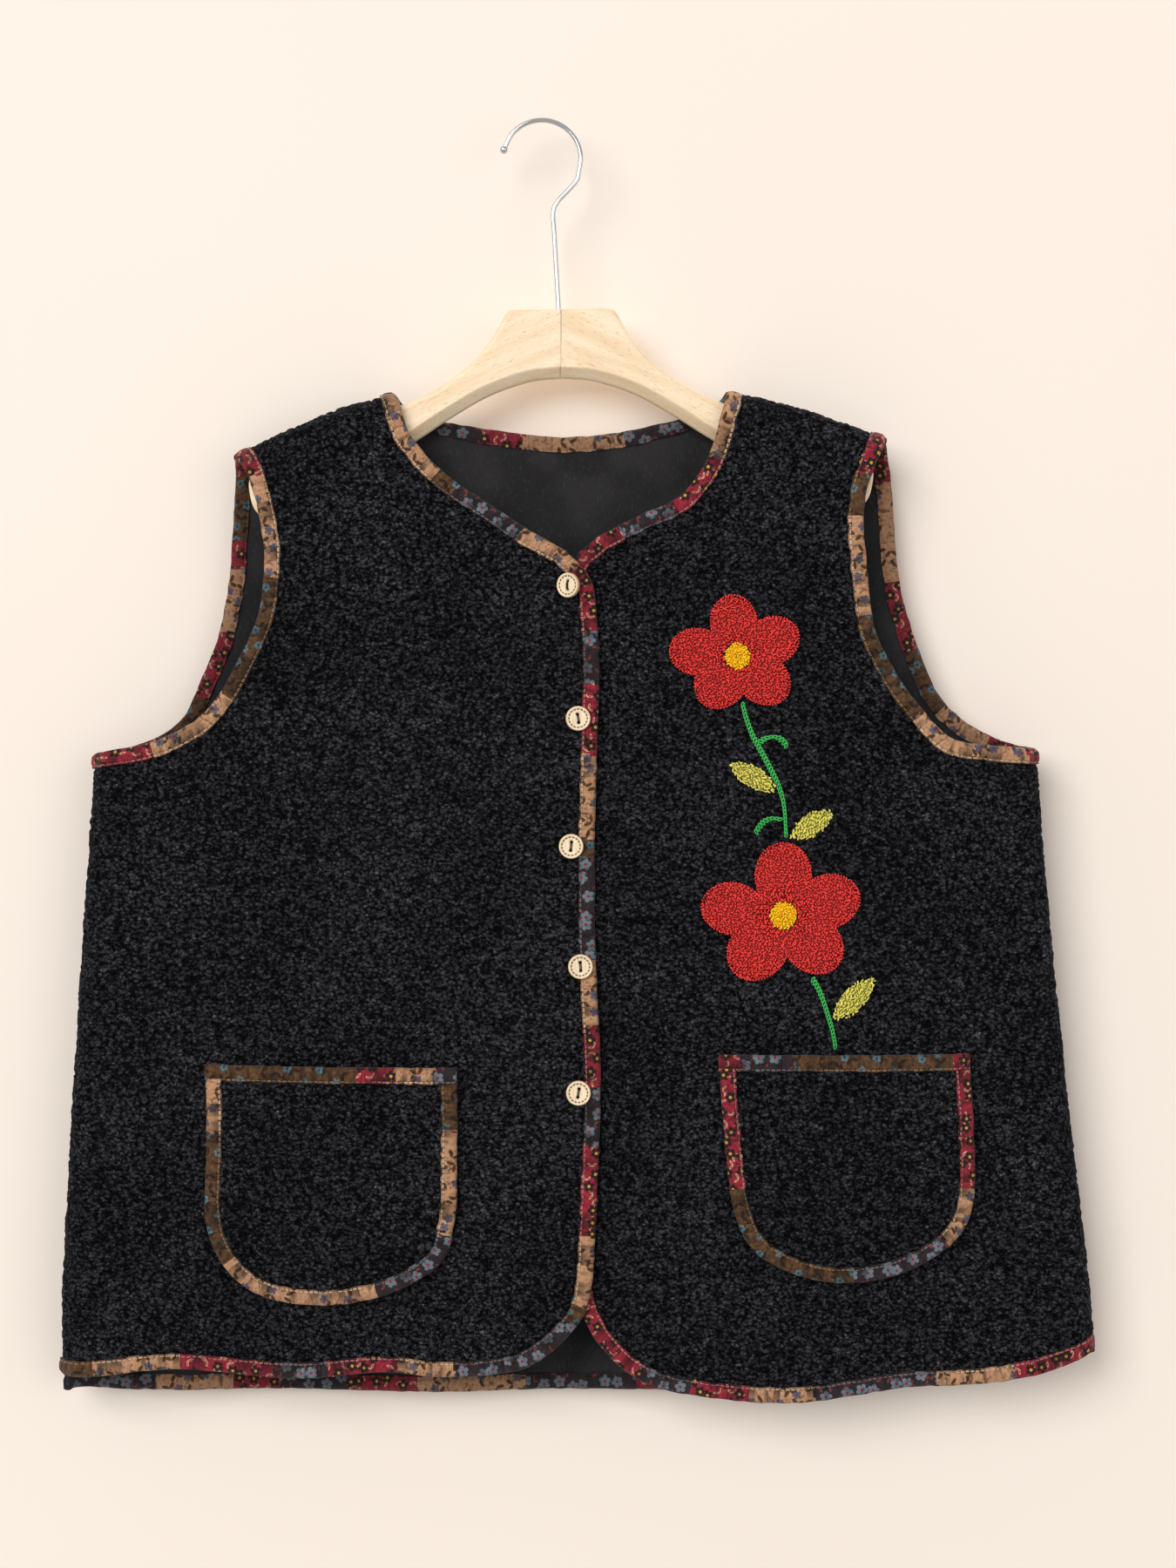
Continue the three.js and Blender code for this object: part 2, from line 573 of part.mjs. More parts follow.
// The back: rows run from one armhole or side seam to the other, with the neckline cut out on top
function buildBack() {
  const cloth = new Cloth(SURFACES.back);
  const W = BINDING_WIDTH;
  const rows = UNDERARM_ROW + LOWER_ROWS;
  const arms = {
    right: armholeStations(ARMHOLES.right_back, -1),
    left: armholeStations(ARMHOLES.left_back, 1),
  };
  const neck = neckStations();
  const hem = backHemStations();
  const [first, last] = [SHOULDER_COLUMNS, BACK_COLUMNS - SHOULDER_COLUMNS];
  const mix = THREE.MathUtils.lerp;
  const end = (side, row) => {
    const hand = side === 'right' ? -1 : 1;
    const station = arms[side];
    if (row <= UNDERARM_ROW) return station[row](W);
    const low = hem[side === 'right' ? 0 : BACK_COLUMNS](W)[1];
    const z = mix(station[UNDERARM_ROW](W)[1], low, (row - UNDERARM_ROW) / LOWER_ROWS);
    return [sideLine(hand, z), z];
  };
  const neckPoint = (row, k) => {
    if (row < NECK_ROW) return (k <= first ? neck[row] : neck[neck.length - 1 - row])(W);
    return neck[NECK_ROW + k - first](W);
  };
  const shoulderPoint = (row, k) => {
    if (k >= first && k <= last) return neckPoint(row, k);
    const [from, to] = k < first
      ? [end('right', row), neckPoint(row, first)]
      : [neckPoint(row, last), end('left', row)];
    const share = k < first ? k / first : (k - last) / (BACK_COLUMNS - last);
    const x = mix(from[0], to[0], share);
    return [x, row <= ROLLS ? ridge(x) - ROLL_ROWS[row] : mix(from[1], to[1], share)];
  };
  const neckLevel = Array.from({ length: BACK_COLUMNS + 1 }, (_, k) => shoulderPoint(NECK_ROW, k));
  const [levelStart, levelEnd] = [neckLevel[0], neckLevel[BACK_COLUMNS]];
  const bodyPoint = (row, k) => {
    const [from, to] = [end('right', row), end('left', row)];
    const width = to[0] - from[0];
    const ease = THREE.MathUtils.smoothstep(row, NECK_ROW, NECK_ROW + NECK_EASE[0]);
    const levelShare = (neckLevel[k][0] - levelStart[0]) / (levelEnd[0] - levelStart[0]);
    const share = mix(levelShare, rowShares(row, BACK_COLUMNS, width, 2)[k], ease);
    const bump = neckLevel[k][1] - mix(levelStart[1], levelEnd[1], levelShare);
    const fade = 1 - THREE.MathUtils.smoothstep(row, NECK_ROW, NECK_ROW + NECK_EASE[1]);
    let z = mix(from[1], to[1], share) + bump * fade;
    let x = mix(from[0], to[0], share);
    const drop = THREE.MathUtils.smoothstep(row, rows - HEM_ROWS, rows);
    z += (hem[k](W)[1] - mix(hem[0](W)[1], hem[BACK_COLUMNS](W)[1], share)) * drop;
    if (row === rows) [x, z] = hem[k](W);
    const fromSide = Math.min(k, BACK_COLUMNS - k);
    const hand = k < BACK_COLUMNS / 2 ? -1 : 1;
    if (row >= UNDERARM_ROW && fromSide <= ROLLS) x = sideLine(hand, z) - hand * ROLL_ROWS[fromSide];
    return [x, z];
  };
  const grid = [];
  for (let row = 0; row <= rows; row += 1) {
    grid.push(Array.from({ length: BACK_COLUMNS + 1 }, (_, k) => {
      if (row < NECK_ROW && k > first && k < last) return -1;
      const onSide = (k === 0 || k === BACK_COLUMNS) && row >= UNDERARM_ROW;
      return cloth.add((row <= NECK_ROW ? shoulderPoint : bodyPoint)(row, k), row === 0 || onSide);
    }));
  }
  for (let row = 0; row < rows; row += 1) {
    for (let k = 0; k < BACK_COLUMNS; k += 1) {
      if (row < NECK_ROW && k >= first && k < last) continue;
      cloth.cell(grid[row][k], grid[row + 1][k], grid[row + 1][k + 1], grid[row][k + 1]);
    }
  }
  const edgesOf = (stations, seamRows) => stations.map(
    (station, k) => cloth.add(station(CLOTH_INSET), seamRows.includes(k)),
  );
  const ends = (stations) => [0, stations.length - 1];
  const column = (k) => grid.slice(0, UNDERARM_ROW + 1).map((row) => row[k]);
  const neckInners = [
    ...grid.slice(0, NECK_ROW).map((row) => row[first]),
    ...grid[NECK_ROW].slice(first, last + 1),
    ...grid.slice(0, NECK_ROW).map((row) => row[last]).reverse(),
  ];
  const strips = {
    right_armhole_back_binding: [edgesOf(arms.right, ends(arms.right)), column(0), PRINTS.red],
    left_armhole_back_binding: [
      edgesOf(arms.left, ends(arms.left)).reverse(), column(BACK_COLUMNS).reverse(), PRINTS.tan,
    ],
    back_neck_binding: [edgesOf(neck, ends(neck)).reverse(), neckInners.reverse(), PRINTS.charcoal],
    back_hem_binding: [edgesOf(hem, ends(hem)), grid[rows], PRINTS.tan],
  };
  const pairs = Object.entries(strips).map(([name, [edges, inners, color]]) => (
    { name, color, pairs: addStrip(cloth, edges, inners) }
  ));
  addPiece('back', cloth.wall(), CLOTH);
  for (const strip of pairs) addPiece(strip.name, foldBinding(cloth, strip.pairs), { color: strip.color });
}

// A patch pocket on a front: a core of cells with a strip round its U and one along its mouth
function buildPocket(name) {
  const surface = SURFACES[`${name}_front`];
  const table = POCKETS[name];
  const path = smoothPath(table);
  const [start, finish] = [table[0], table[table.length - 1]];
  const floor = Math.min(...table.map((row) => row[1]));
  const mouth = (x) => THREE.MathUtils.mapLinear(x, start[0], finish[0], start[1], finish[1]);
  const swell = (x, z) => {
    const across = THREE.MathUtils.mapLinear(x, start[0], finish[0], -1, 1);
    const down = (start[1] - z) / (start[1] - floor);
    return POCKET_SWELL * Math.max(0, 1 - across * across) * Math.max(0, 1 - down ** 3);
  };
  const cloth = new Cloth((x, z) => surface(x, z) - POCKET_LIFT - swell(x, z));
  const { down: downRows, across: acrossColumns } = POCKET_CELLS;
  const W = BINDING_WIDTH;
  const corner = reach(path, (p) => p.y - floor - POCKET_CORNER);
  const opposite = path.length - corner;
  const stations = [
    W,
    ...spread(W, corner, downRows),
    ...spread(corner, opposite, acrossColumns),
    ...spread(opposite, path.length - W, downRows),
  ].map((s) => squareStation(path, s, 1));
  const left = stations.slice(0, downRows + 1).map((station) => station(W));
  const bottom = stations.slice(downRows, downRows + acrossColumns + 1).map((station) => station(W));
  const right = stations.slice(downRows + acrossColumns).reverse().map((station) => station(W));
  const grid = left.map((from, row) => bottom.map((low, k) => {
    const [u, v] = [k / acrossColumns, row / downRows];
    return cloth.add([0, 1].map((axis) => (
      (1 - u) * from[axis] + u * right[row][axis]
      + (1 - v) * THREE.MathUtils.lerp(left[0][axis], right[0][axis], u) + v * low[axis]
      - (1 - u) * ((1 - v) * left[0][axis] + v * left[downRows][axis])
      - u * ((1 - v) * right[0][axis] + v * right[downRows][axis])
    )));
  }));
  for (let row = 0; row < downRows; row += 1) {
    for (let k = 0; k < acrossColumns; k += 1) {
      cloth.cell(grid[row][k], grid[row + 1][k], grid[row + 1][k + 1], grid[row][k + 1]);
    }
  }
  const edges = stations.map((station) => cloth.add(station(CLOTH_INSET)));
  const inners = [
    ...grid.map((row) => row[0]),
    ...grid[downRows].slice(1),
    ...grid.slice(0, downRows).map((row) => row[acrossColumns]).reverse(),
  ];
  const uPairs = addStrip(cloth, edges, inners);
  const mouthInners = [edges[edges.length - 1], ...[...grid[0]].reverse(), edges[0]];
  const mouthEdges = mouthInners.map((k) => {
    const { x } = cloth.points[k];
    return cloth.add([x, mouth(x) - CLOTH_INSET]);
  });
  const mouthPairs = addStrip(cloth, mouthEdges, mouthInners);
  addPiece(`${name}_pocket`, cloth.wall(), CLOTH);
  addPiece(`${name}_pocket_binding`, foldBinding(cloth, uPairs), { color: PRINTS.brown });
  addPiece(`${name}_pocket_mouth_binding`, foldBinding(cloth, mouthPairs, GAP), { color: PRINTS.charcoal });
}

// Raised work on the left front, from the front's own surface moved out
const RAISED_FROM = HALF + GAP;

// How far a petal's oval reaches along a ray from the flower's middle, 0 where the ray misses it
function ovalReach(ray, [angle, reach, half]) {
  const long = PETAL_OVAL * half;
  const middle = reach - long;
  const turn = THREE.MathUtils.degToRad(ray - angle);
  const [along, across] = [Math.cos(turn), Math.sin(turn)];
  const square = (along / long) ** 2 + (across / half) ** 2;
  const root = square - ((middle * across) / (long * half)) ** 2;
  return along > 0 && root > 0 ? ((middle * along) / long ** 2 + Math.sqrt(root)) / square : 0;
}

// Directions round a flower: even steps between the notches, which lie halfway between two petals
function petalRays(petals) {
  const angles = petals.map(([angle]) => angle);
  return petals.flatMap((_, k) => {
    const before = k > 0 ? angles[k - 1] : angles[petals.length - 1] - 360;
    const after = k + 1 < petals.length ? angles[k + 1] : angles[0] + 360;
    const [start, end] = [(before + angles[k]) / 2, (angles[k] + after) / 2];
    return Array.from({ length: PETAL_STEPS }, (__, step) => (
      THREE.MathUtils.lerp(start, end, step / PETAL_STEPS)
    ));
  });
}

// Petals as a ring of cells round the eye
function buildFlower(name, { x, z, eye, petals }) {
  const rays = petalRays(petals);
  const count = rays.length;
  const cloth = new Cloth(SURFACES.left_front);
  const inside = eye + GAP;
  const grid = PETAL_RINGS.map(([ring]) => rays.map((ray) => {
    const rim = Math.max(...petals.map((petal) => ovalReach(ray, petal)));
    const r = THREE.MathUtils.lerp(inside, rim, ring);
    const angle = THREE.MathUtils.degToRad(ray);
    return cloth.add([x + r * Math.cos(angle), z + r * Math.sin(angle)]);
  }));
  for (let ring = 0; ring + 1 < PETAL_RINGS.length; ring += 1) {
    for (let k = 0; k < count; k += 1) {
      const next = (k + 1) % count;
      cloth.cell(grid[ring][k], grid[ring + 1][k], grid[ring + 1][next], grid[ring][next]);
    }
  }
  const rise = (k) => PETAL_RINGS[Math.floor(k / count)][1];
  addPiece(
    `flower_${name}_petals`,
    cloth.wall(RAISED_FROM, RAISED_FROM + PETAL_RISE, rise),
    { color: YARNS.petal, roughness: 0.9 },
  );
  buildEye(name, x, z, eye);
}

// The eye as a square grid drawn into a disc, domed in the middle
function buildEye(name, x, z, radius) {
  const cloth = new Cloth(SURFACES.left_front);
  const domes = [];
  const grid = Array.from({ length: EYE_CELLS + 1 }, (_, row) => (
    Array.from({ length: EYE_CELLS + 1 }, (__, k) => {
      const [u, v] = [(2 * k) / EYE_CELLS - 1, (2 * row) / EYE_CELLS - 1];
      const [du, dv] = [u * Math.sqrt(1 - (v * v) / 2), v * Math.sqrt(1 - (u * u) / 2)];
      domes.push(1 - 0.5 * (du * du + dv * dv));
      return cloth.add([x + radius * du, z - radius * dv]);
    })
  ));
  for (let row = 0; row < EYE_CELLS; row += 1) {
    for (let k = 0; k < EYE_CELLS; k += 1) {
      cloth.cell(grid[row][k], grid[row + 1][k], grid[row + 1][k + 1], grid[row][k + 1]);
    }
  }
  addPiece(
    `flower_${name}_eye`,
    cloth.wall(RAISED_FROM, RAISED_FROM + PETAL_RISE, (k) => domes[k]),
    { color: YARNS.eye, roughness: 0.9 },
  );
}

// A raised ribbon along a line in the front, its half width given at each share of its length
function buildRibbon(name, points, halfWidth, color) {
  const { steps, rise } = STEM;
  const path = smoothPath(points);
  const cloth = new Cloth(SURFACES.left_front);
  const rows = Array.from({ length: steps + 1 }, (_, k) => {
    const station = squareStation(path, (path.length * k) / steps, 1);
    return [-1, 0, 1].map((side) => cloth.add(station(side * halfWidth(k / steps))));
  });
  for (let k = 0; k < steps; k += 1) {
    for (const side of [0, 1]) {
      cloth.cell(rows[k][side], rows[k + 1][side], rows[k + 1][side + 1], rows[k][side + 1]);
    }
  }
  const crown = (k) => (k % 3 === 1 ? 1 : 0.6);
  addPiece(name, cloth.wall(RAISED_FROM, RAISED_FROM + rise, crown), { color, roughness: 0.9 });
}

function buildEmbroidery() {
  Object.entries(FLOWERS).forEach(([name, flower]) => buildFlower(name, flower));
  LEAVES.forEach(([baseX, baseZ, tipX, tipZ, width], k) => {
    const middle = [(baseX + tipX) / 2, (baseZ + tipZ) / 2];
    const bulge = (share) => Math.max(0, Math.sin(Math.PI * share)) ** LEAF_FULLNESS;
    const leafShape = (share) => LEAF_TIP + (width / 2 - LEAF_TIP) * bulge(share);
    const line = [[baseX, baseZ], middle, [tipX, tipZ]];
    buildRibbon(`leaf_${k + 1}`, line, leafShape, YARNS.leaf);
  });
  Object.entries(STEMS).forEach(([name, line]) => {
    buildRibbon(name, line, () => STEM.width / 2, YARNS.stem);
  });
}

// A turned button with a raised rim and two thread holes, facing -Y
function buildButtons() {
  const profile = BUTTON_PROFILE.map(([radius, height]) => new THREE.Vector2(radius, height));
  const turned = toSolid(new THREE.LatheGeometry(profile, BUTTON_SEGMENTS));
  const hole = (z) => {
    const pin = new THREE.CylinderGeometry(BUTTON_HOLE.radius, BUTTON_HOLE.radius, 12, 8);
    return toSolid(pin.translate(0, 0, z));
  };
  const offset = BUTTON_HOLE.spacing / 2;
  const drilled = toGeometry(turned.subtract(hole(offset)).subtract(hole(-offset)));
  BUTTONS.forEach(([x, z], k) => {
    const geometry = drilled.clone().rotateX(Math.PI);
    geometry.translate(x, SURFACES.right_front(x, z) - LEG_OUT - GAP, z);
    addPiece(`button_${k + 1}`, geometry, TURNED_WOOD);
  });
}

// The hanger's outline: crown, arms under the shoulder ridge, round tips and the arch below
function hangerOutline() {
  const tilted = (side) => ([distance, z]) => {
    const x = HANGER.x + side * distance;
    return new THREE.Vector2(x, z + HANGER.tilt * (x - HANGER.x));
  };
  const armTop = (side) => ARM_TOP.map(([distance, depth]) => {
    const x = HANGER.x + side * distance;
    return new THREE.Vector2(x, ridge(x) - depth);
  });
  const half = (side) => [
    ...HANGER_TOP.map(tilted(side)),
    ...armTop(side),
    ...HANGER_LOW.map(tilted(side)),
  ];
  return [...half(1), new THREE.Vector2(HANGER.x, ARCH_TOP), ...half(-1).reverse()];
}

function buildHanger() {
  const { thickness, chamfer } = HANGER;
  const body = new THREE.ExtrudeGeometry(new THREE.Shape(hangerOutline()), {
    depth: thickness - 2 * chamfer,
    bevelThickness: chamfer,
    bevelSize: chamfer,
    bevelOffset: -chamfer,
    bevelSegments: 1,
  });
  body.translate(0, 0, chamfer - thickness / 2).rotateX(Math.PI / 2);
  const [foot, above] = [WIRE_STEM[WIRE_STEM.length - 1], WIRE_STEM[WIRE_STEM.length - 2]];
  const stem = new THREE.Vector3(above[0] - foot[0], 0, above[1] - foot[1]).normalize();
  const bore = new THREE.CylinderGeometry(WIRE.bore, WIRE.bore, WIRE.depth * 2, 16);
  bore.applyQuaternion(new THREE.Quaternion().setFromUnitVectors(new THREE.Vector3(0, 1, 0), stem));
  bore.translate(foot[0] + stem.x * (WIRE.depth - 1), 0, foot[1] + stem.z * (WIRE.depth - 1));
  const drilled = toSolid(body).subtract(toSolid(bore));
  for (const [name, side] of [['hanger_arm_right', -1], ['hanger_arm_left', 1]]) {
    const box = new THREE.BoxGeometry(HALF_BOX, HALF_BOX, HALF_BOX);
    box.translate(HANGER.x + side * (HALF_BOX / 2 + SEAM), 0, ARCH_TOP);
    addPiece(name, toGeometry(drilled.intersect(toSolid(box))), WOOD);
  }
}

// The wire hook: a round crown from the ball tip over the origin, then the bend and the stem
function buildHook() {
  const [tip, turn, steps] = WIRE.sweep;
  const crown = Array.from({ length: steps + 1 }, (_, k) => {
    const angle = THREE.MathUtils.degToRad(tip - (k * turn) / steps);
    const height = WIRE.radius - WIRE.crown;
    return [WIRE.crown * Math.cos(angle), height + WIRE.crown * Math.sin(angle)];
  });
  const line = [...crown, ...WIRE_STEM].map(([x, z]) => new THREE.Vector3(x, 0, z));
  const section = new THREE.Shape().absarc(0, 0, WIRE.radius, 0, 2 * Math.PI);
  const wire = new THREE.ExtrudeGeometry(section, {
    steps: 48, curveSegments: 4, extrudePath: new THREE.CatmullRomCurve3(line),
  });
  const ball = new THREE.SphereGeometry(WIRE.ball, 10, 7).translate(line[0].x, 0, line[0].z);
  addPiece('hook', toGeometry(toSolid(wire).add(toSolid(ball))), STEEL);
}

buildBack();
// name, side, fold line, x where the lower corner has turned into the hem, columns
buildFront('right', -1, RIGHT_FRONT_EDGE, 14, 12);
buildFront('left', 1, LEFT_FRONT_EDGE, 45, 13);
buildPocket('right');
buildPocket('left');
buildEmbroidery();
buildButtons();
buildHanger();
buildHook();

export default model;
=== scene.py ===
"""Embroidered sherpa vest on a wooden hanger, front towards -Y, +Z up.

The origin is the inside of the hook's crown. Right and left are the wearer's, so the right front
is on the -X side. Shapes are worked out in millimetres and become metres as a mesh is made.
"""
import math

import bpy
import numpy as np
from mathutils import Euler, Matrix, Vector


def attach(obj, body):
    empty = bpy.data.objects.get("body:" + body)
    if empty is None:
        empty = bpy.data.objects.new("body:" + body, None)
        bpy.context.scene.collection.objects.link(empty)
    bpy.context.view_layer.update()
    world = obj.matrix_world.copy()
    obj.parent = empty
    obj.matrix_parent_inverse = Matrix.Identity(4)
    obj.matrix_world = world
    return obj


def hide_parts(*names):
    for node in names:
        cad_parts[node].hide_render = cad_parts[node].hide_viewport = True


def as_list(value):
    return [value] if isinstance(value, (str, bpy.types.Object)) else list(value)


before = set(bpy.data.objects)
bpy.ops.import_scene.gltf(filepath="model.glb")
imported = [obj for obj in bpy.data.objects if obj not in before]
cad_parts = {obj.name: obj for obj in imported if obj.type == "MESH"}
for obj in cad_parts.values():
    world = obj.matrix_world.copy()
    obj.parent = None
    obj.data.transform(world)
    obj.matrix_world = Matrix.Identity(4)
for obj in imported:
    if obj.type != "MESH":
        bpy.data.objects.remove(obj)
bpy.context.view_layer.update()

MM = 0.001

# Driving dimensions of the cloth
HALF = 2.0                 # half the wall, pile included
GAP = 0.3
HALF_DEPTH = 13.0
ROLL = 14.0
LAP = 7.0
LAP_RISE = (-30, 9)
SEAM = -0.05               # front and back just meet at the shoulder and side seams
POCKET_LIFT = 5.6
POCKET_SWELL = 7.0
CLOTH_INSET = 3.0          # the cut edge of the cloth inside its binding
TAPE_RISE = 1.3            # how far a binding stands off the cloth
BARE_FROM = (8.4, 11.5)    # distances from a fold line between which the pile comes up
UNDER_TAPE = 1.2           # height of the cloth's outside under its binding
REVERSE_HEIGHT = HALF - 0.4
PILE = {"curl": 3.6, "rise": 1.6, "sink": 0.55, "wave": 0.8, "waves": (19, 7.5)}
# How a grid is eased onto its edges: shares of its rows, and mm in from a side seam
EASE = {"armpit": 0.07, "top": 0.4, "low": 0.7, "side": 70}
# Points read along an edge before it is divided evenly, and along a seam or a short edge
LONG_EDGE, SHORT_EDGE = 1500, 300
# Rows and columns of each cloth's grid
FRONT_CELLS = (352, 180)
BACK_CELLS = (276, 276)
POCKET_CELLS = (96, 96)
# Where the front edge turns into the hem: below this height, and past this x
HEM_TURN = -700
FRONT_CORNERS = {"right": 14, "left": 45}
SEEDS = {
    "right_front": 11, "left_front": 21, "back": 31, "right_pocket": 41, "left_pocket": 51,
    "flowers": 60, "leaves": 200,
}
POCKET_CORNER = 16         # height over a pocket's floor where its sides meet its bottom
POCKET_ENDS = 9.0          # how far the tape round the U stays below the mouth's tape
# Near the end of a fold line, how far back a tape follows the seam, and where it lets go of it
END_REACH = 60
END_BLEND = (3, 26)
STITCH = 3.2               # length of one machine stitch
SEWN_AT = 8.8              # distance of a binding's sewn line from the fold

# Height of the shoulder ridge, columns: x, z
RIDGE = [
    (-230, -220), (-191, -207.5), (-161, -193.5), (-122, -177), (-97, -170.5), (-60, -163),
    (85, -162), (122, -169), (160, -178), (205, -194), (240, -204),
]
# Side seams, columns: z, x of the right side, x of the left side
SIDES = [
    (-380, -276, 305.5), (-500, -284, 315), (-610, -291, 326.5), (-725, -297.5, 340),
    (-800, -296.5, 346),
]

# Fold lines of the bindings, columns: x, z, from the shoulder downwards
RIGHT_FRONT_EDGE = [
    (-90, -171), (-87, -178), (-80, -197), (-58, -221), (-34, -237), (-9, -254), (14, -267.5),
    (28.5, -282), (33.5, -301), (35.5, -345), (33, -438), (33.5, -518), (36.5, -593),
    (33.5, -679), (30.5, -722), (21.5, -744), (0, -764), (-22, -774), (-60, -777),
    (-99, -773.5), (-155, -777), (-224, -772), (-272, -775.5), (-297, -777),
]
LEFT_FRONT_EDGE = [
    (114, -169), (111.5, -180), (101.5, -211.5), (85, -233.5), (57, -247), (33, -260),
    (18, -276), (13, -300), (12.5, -400), (12.5, -560), (12.5, -679), (19.5, -719),
    (34, -754.5), (65, -781), (112, -790.5), (160, -791.5), (222, -783.5), (269, -781),
    (308, -774), (344, -760),
]
BACK_NECK_EDGE = [
    (-90, -171), (-80, -179), (-62, -184), (-20, -190.5), (12, -193.5), (45, -191), (88, -182),
    (105, -177), (114, -169),
]
BACK_HEM_EDGE = [
    (-297, -788), (-220, -790), (-60, -791), (70, -790), (170, -787), (261, -779.5), (344, -764),
]
# columns: x, z, from the shoulder tip to the underarm
ARMHOLES = {
    "right_front": [
        (-191, -208), (-182, -219), (-174.5, -243), (-170.7, -274), (-174.5, -306),
        (-186.5, -334), (-203.5, -362.5), (-222, -377), (-246, -386.5), (-276, -392),
    ],
    "right_back": [
        (-191, -208), (-193, -232), (-194, -256), (-197, -288), (-203, -318), (-213, -344),
        (-225, -369), (-243, -382.5), (-264, -389), (-276, -392),
    ],
    "left_front": [
        (214, -197), (205, -216.5), (199, -240), (200, -270), (204.5, -311), (216, -338),
        (231.5, -361), (252, -382), (275, -387), (306, -389),
    ],
    "left_back": [
        (214, -197), (218.5, -219), (221.5, -262), (225, -290), (232, -315), (244, -347),
        (258, -366), (281, -381), (306, -389),
    ],
}
# Patch pockets, columns: x, z round the U from one top corner to the other
POCKETS = {
    "right": [
        (-206, -583), (-205.5, -630), (-206, -677), (-196, -705), (-172, -725), (-134, -731),
        (-94, -724), (-62, -705), (-53, -677), (-51.5, -630), (-52, -585),
    ],
    "left": [
        (109, -577), (111.5, -615), (117.5, -669), (131, -698), (162, -714), (192, -717),
        (222, -711), (252, -693), (265, -668), (265.5, -622), (263, -576.5),
    ],
}

# Patchwork of the bindings, as the print and where its patch ends, in mm along the fold line
RED, TAN, BROWN, CHARCOAL = range(4)
PATCHES = {
    "right_front_binding": [
        (TAN, 54), (BROWN, 70), (CHARCOAL, 119), (TAN, 160), (RED, 202), (CHARCOAL, 236),
        (RED, 280), (TAN, 331), (BROWN, 342), (CHARCOAL, 404), (TAN, 444), (RED, 482),
        (CHARCOAL, 519), (RED, 575), (TAN, 617), (BROWN, 630), (CHARCOAL, 716), (TAN, 753),
        (RED, 795), (CHARCOAL, 828), (RED, 887), (TAN, 939), (BROWN, 990),
    ],
    "left_front_binding": [
        (TAN, 41), (RED, 77), (CHARCOAL, 113), (RED, 160), (BROWN, 240), (CHARCOAL, 330),
        (TAN, 420), (RED, 520), (CHARCOAL, 590), (RED, 669), (CHARCOAL, 703), (RED, 741),
        (TAN, 782), (CHARCOAL, 858), (TAN, 907), (RED, 990),
    ],
    "back_neck_binding": [(CHARCOAL, 57), (RED, 83), (TAN, 143), (CHARCOAL, 250)],
    "back_hem_binding": [
        (CHARCOAL, 55), (TAN, 102), (RED, 134), (CHARCOAL, 174), (RED, 219), (TAN, 284),
        (CHARCOAL, 355), (RED, 430), (TAN, 500), (BROWN, 570), (RED, 700),
    ],
    "right_armhole_front_binding": [(RED, 17), (TAN, 77), (BROWN, 155), (TAN, 210), (RED, 280)],
    "right_armhole_back_binding": [
        (RED, 9), (BROWN, 49), (RED, 67), (TAN, 107), (RED, 150), (BROWN, 185), (RED, 280),
    ],
    "left_armhole_front_binding": [
        (RED, 26), (BROWN, 51), (TAN, 112), (BROWN, 178), (TAN, 249), (RED, 280),
    ],
    "left_armhole_back_binding": [
        (RED, 24), (TAN, 87), (RED, 130), (BROWN, 171), (TAN, 204), (RED, 280),
    ],
    "right_pocket_binding": [
        (TAN, 41), (BROWN, 125), (TAN, 229), (CHARCOAL, 292), (TAN, 356), (BROWN, 420),
    ],
    "left_pocket_binding": [
        (RED, 81), (BROWN, 189), (CHARCOAL, 253), (TAN, 294), (RED, 420),
    ],
    "right_pocket_mouth_binding": [(BROWN, 92), (RED, 116), (TAN, 140), (CHARCOAL, 200)],
    "left_pocket_mouth_binding": [(RED, 12), (CHARCOAL, 44), (BROWN, 142), (RED, 200)],
}

# Soft creases pressed into the cloth: x and z of both ends, half width, depth
FRONT_CREASES = [
    (-150, -250, -60, -330, 12, 1.6), (-225, -400, -120, -470, 16, 2.0),
    (-250, -470, -170, -620, 18, 1.6), (60, -345, 30, -430, 12, 1.2),
    (70, -372, 200, -350, 10, 0.9), (235, -400, 150, -455, 16, 1.8),
    (290, -440, 250, -600, 18, 1.8), (-30, -600, -40, -740, 14, 1.4),
    (90, -600, 80, -760, 14, 1.4), (-240, -640, -235, -760, 16, 1.8),
    (300, -640, 305, -750, 14, 1.6), (-110, -300, -130, -420, 18, 1.2),
    (128, -178, 200, -198, 2.6, 1.3), (-236, -215, -120, -192, 3.5, 0.8),
]
BACK_CREASES = [
    (-170, -260, -60, -340, 14, 2.0), (190, -260, 80, -340, 14, 2.0),
    (-230, -420, -150, -520, 16, 2.0), (250, -420, 170, -520, 16, 2.0),
    (0, -260, 10, -420, 20, 1.6),
]

# Buttons, columns: x, z
BUTTONS = [(17.5, -289.5), (22.5, -371), (18.5, -449), (24, -522.5), (23, -600)]
BUTTON_HOLE = {"radius": 1.1, "spacing": 5.0}

# Raised flowers, petals as columns: angle in degrees, reach from the middle, half width
FLOWERS = {
    "upper": {"x": 120.5, "z": -332.5, "eye": 8, "petals": [
        (24, 41, 14.8), (96, 38.5, 14.5), (173.5, 42.4, 14.5), (236, 36.5, 16), (319, 39.6, 15)]},
    "lower": {"x": 149, "z": -492, "eye": 8.5, "petals": [
        (17.5, 49, 16.5), (90.5, 45.6, 17.6), (172, 51.5, 16), (232, 47, 18), (316, 45.6, 17.2)]},
}
PETAL_OVAL = 1.2           # half length of a petal's oval over its half width
RAISED_FROM = HALF + GAP
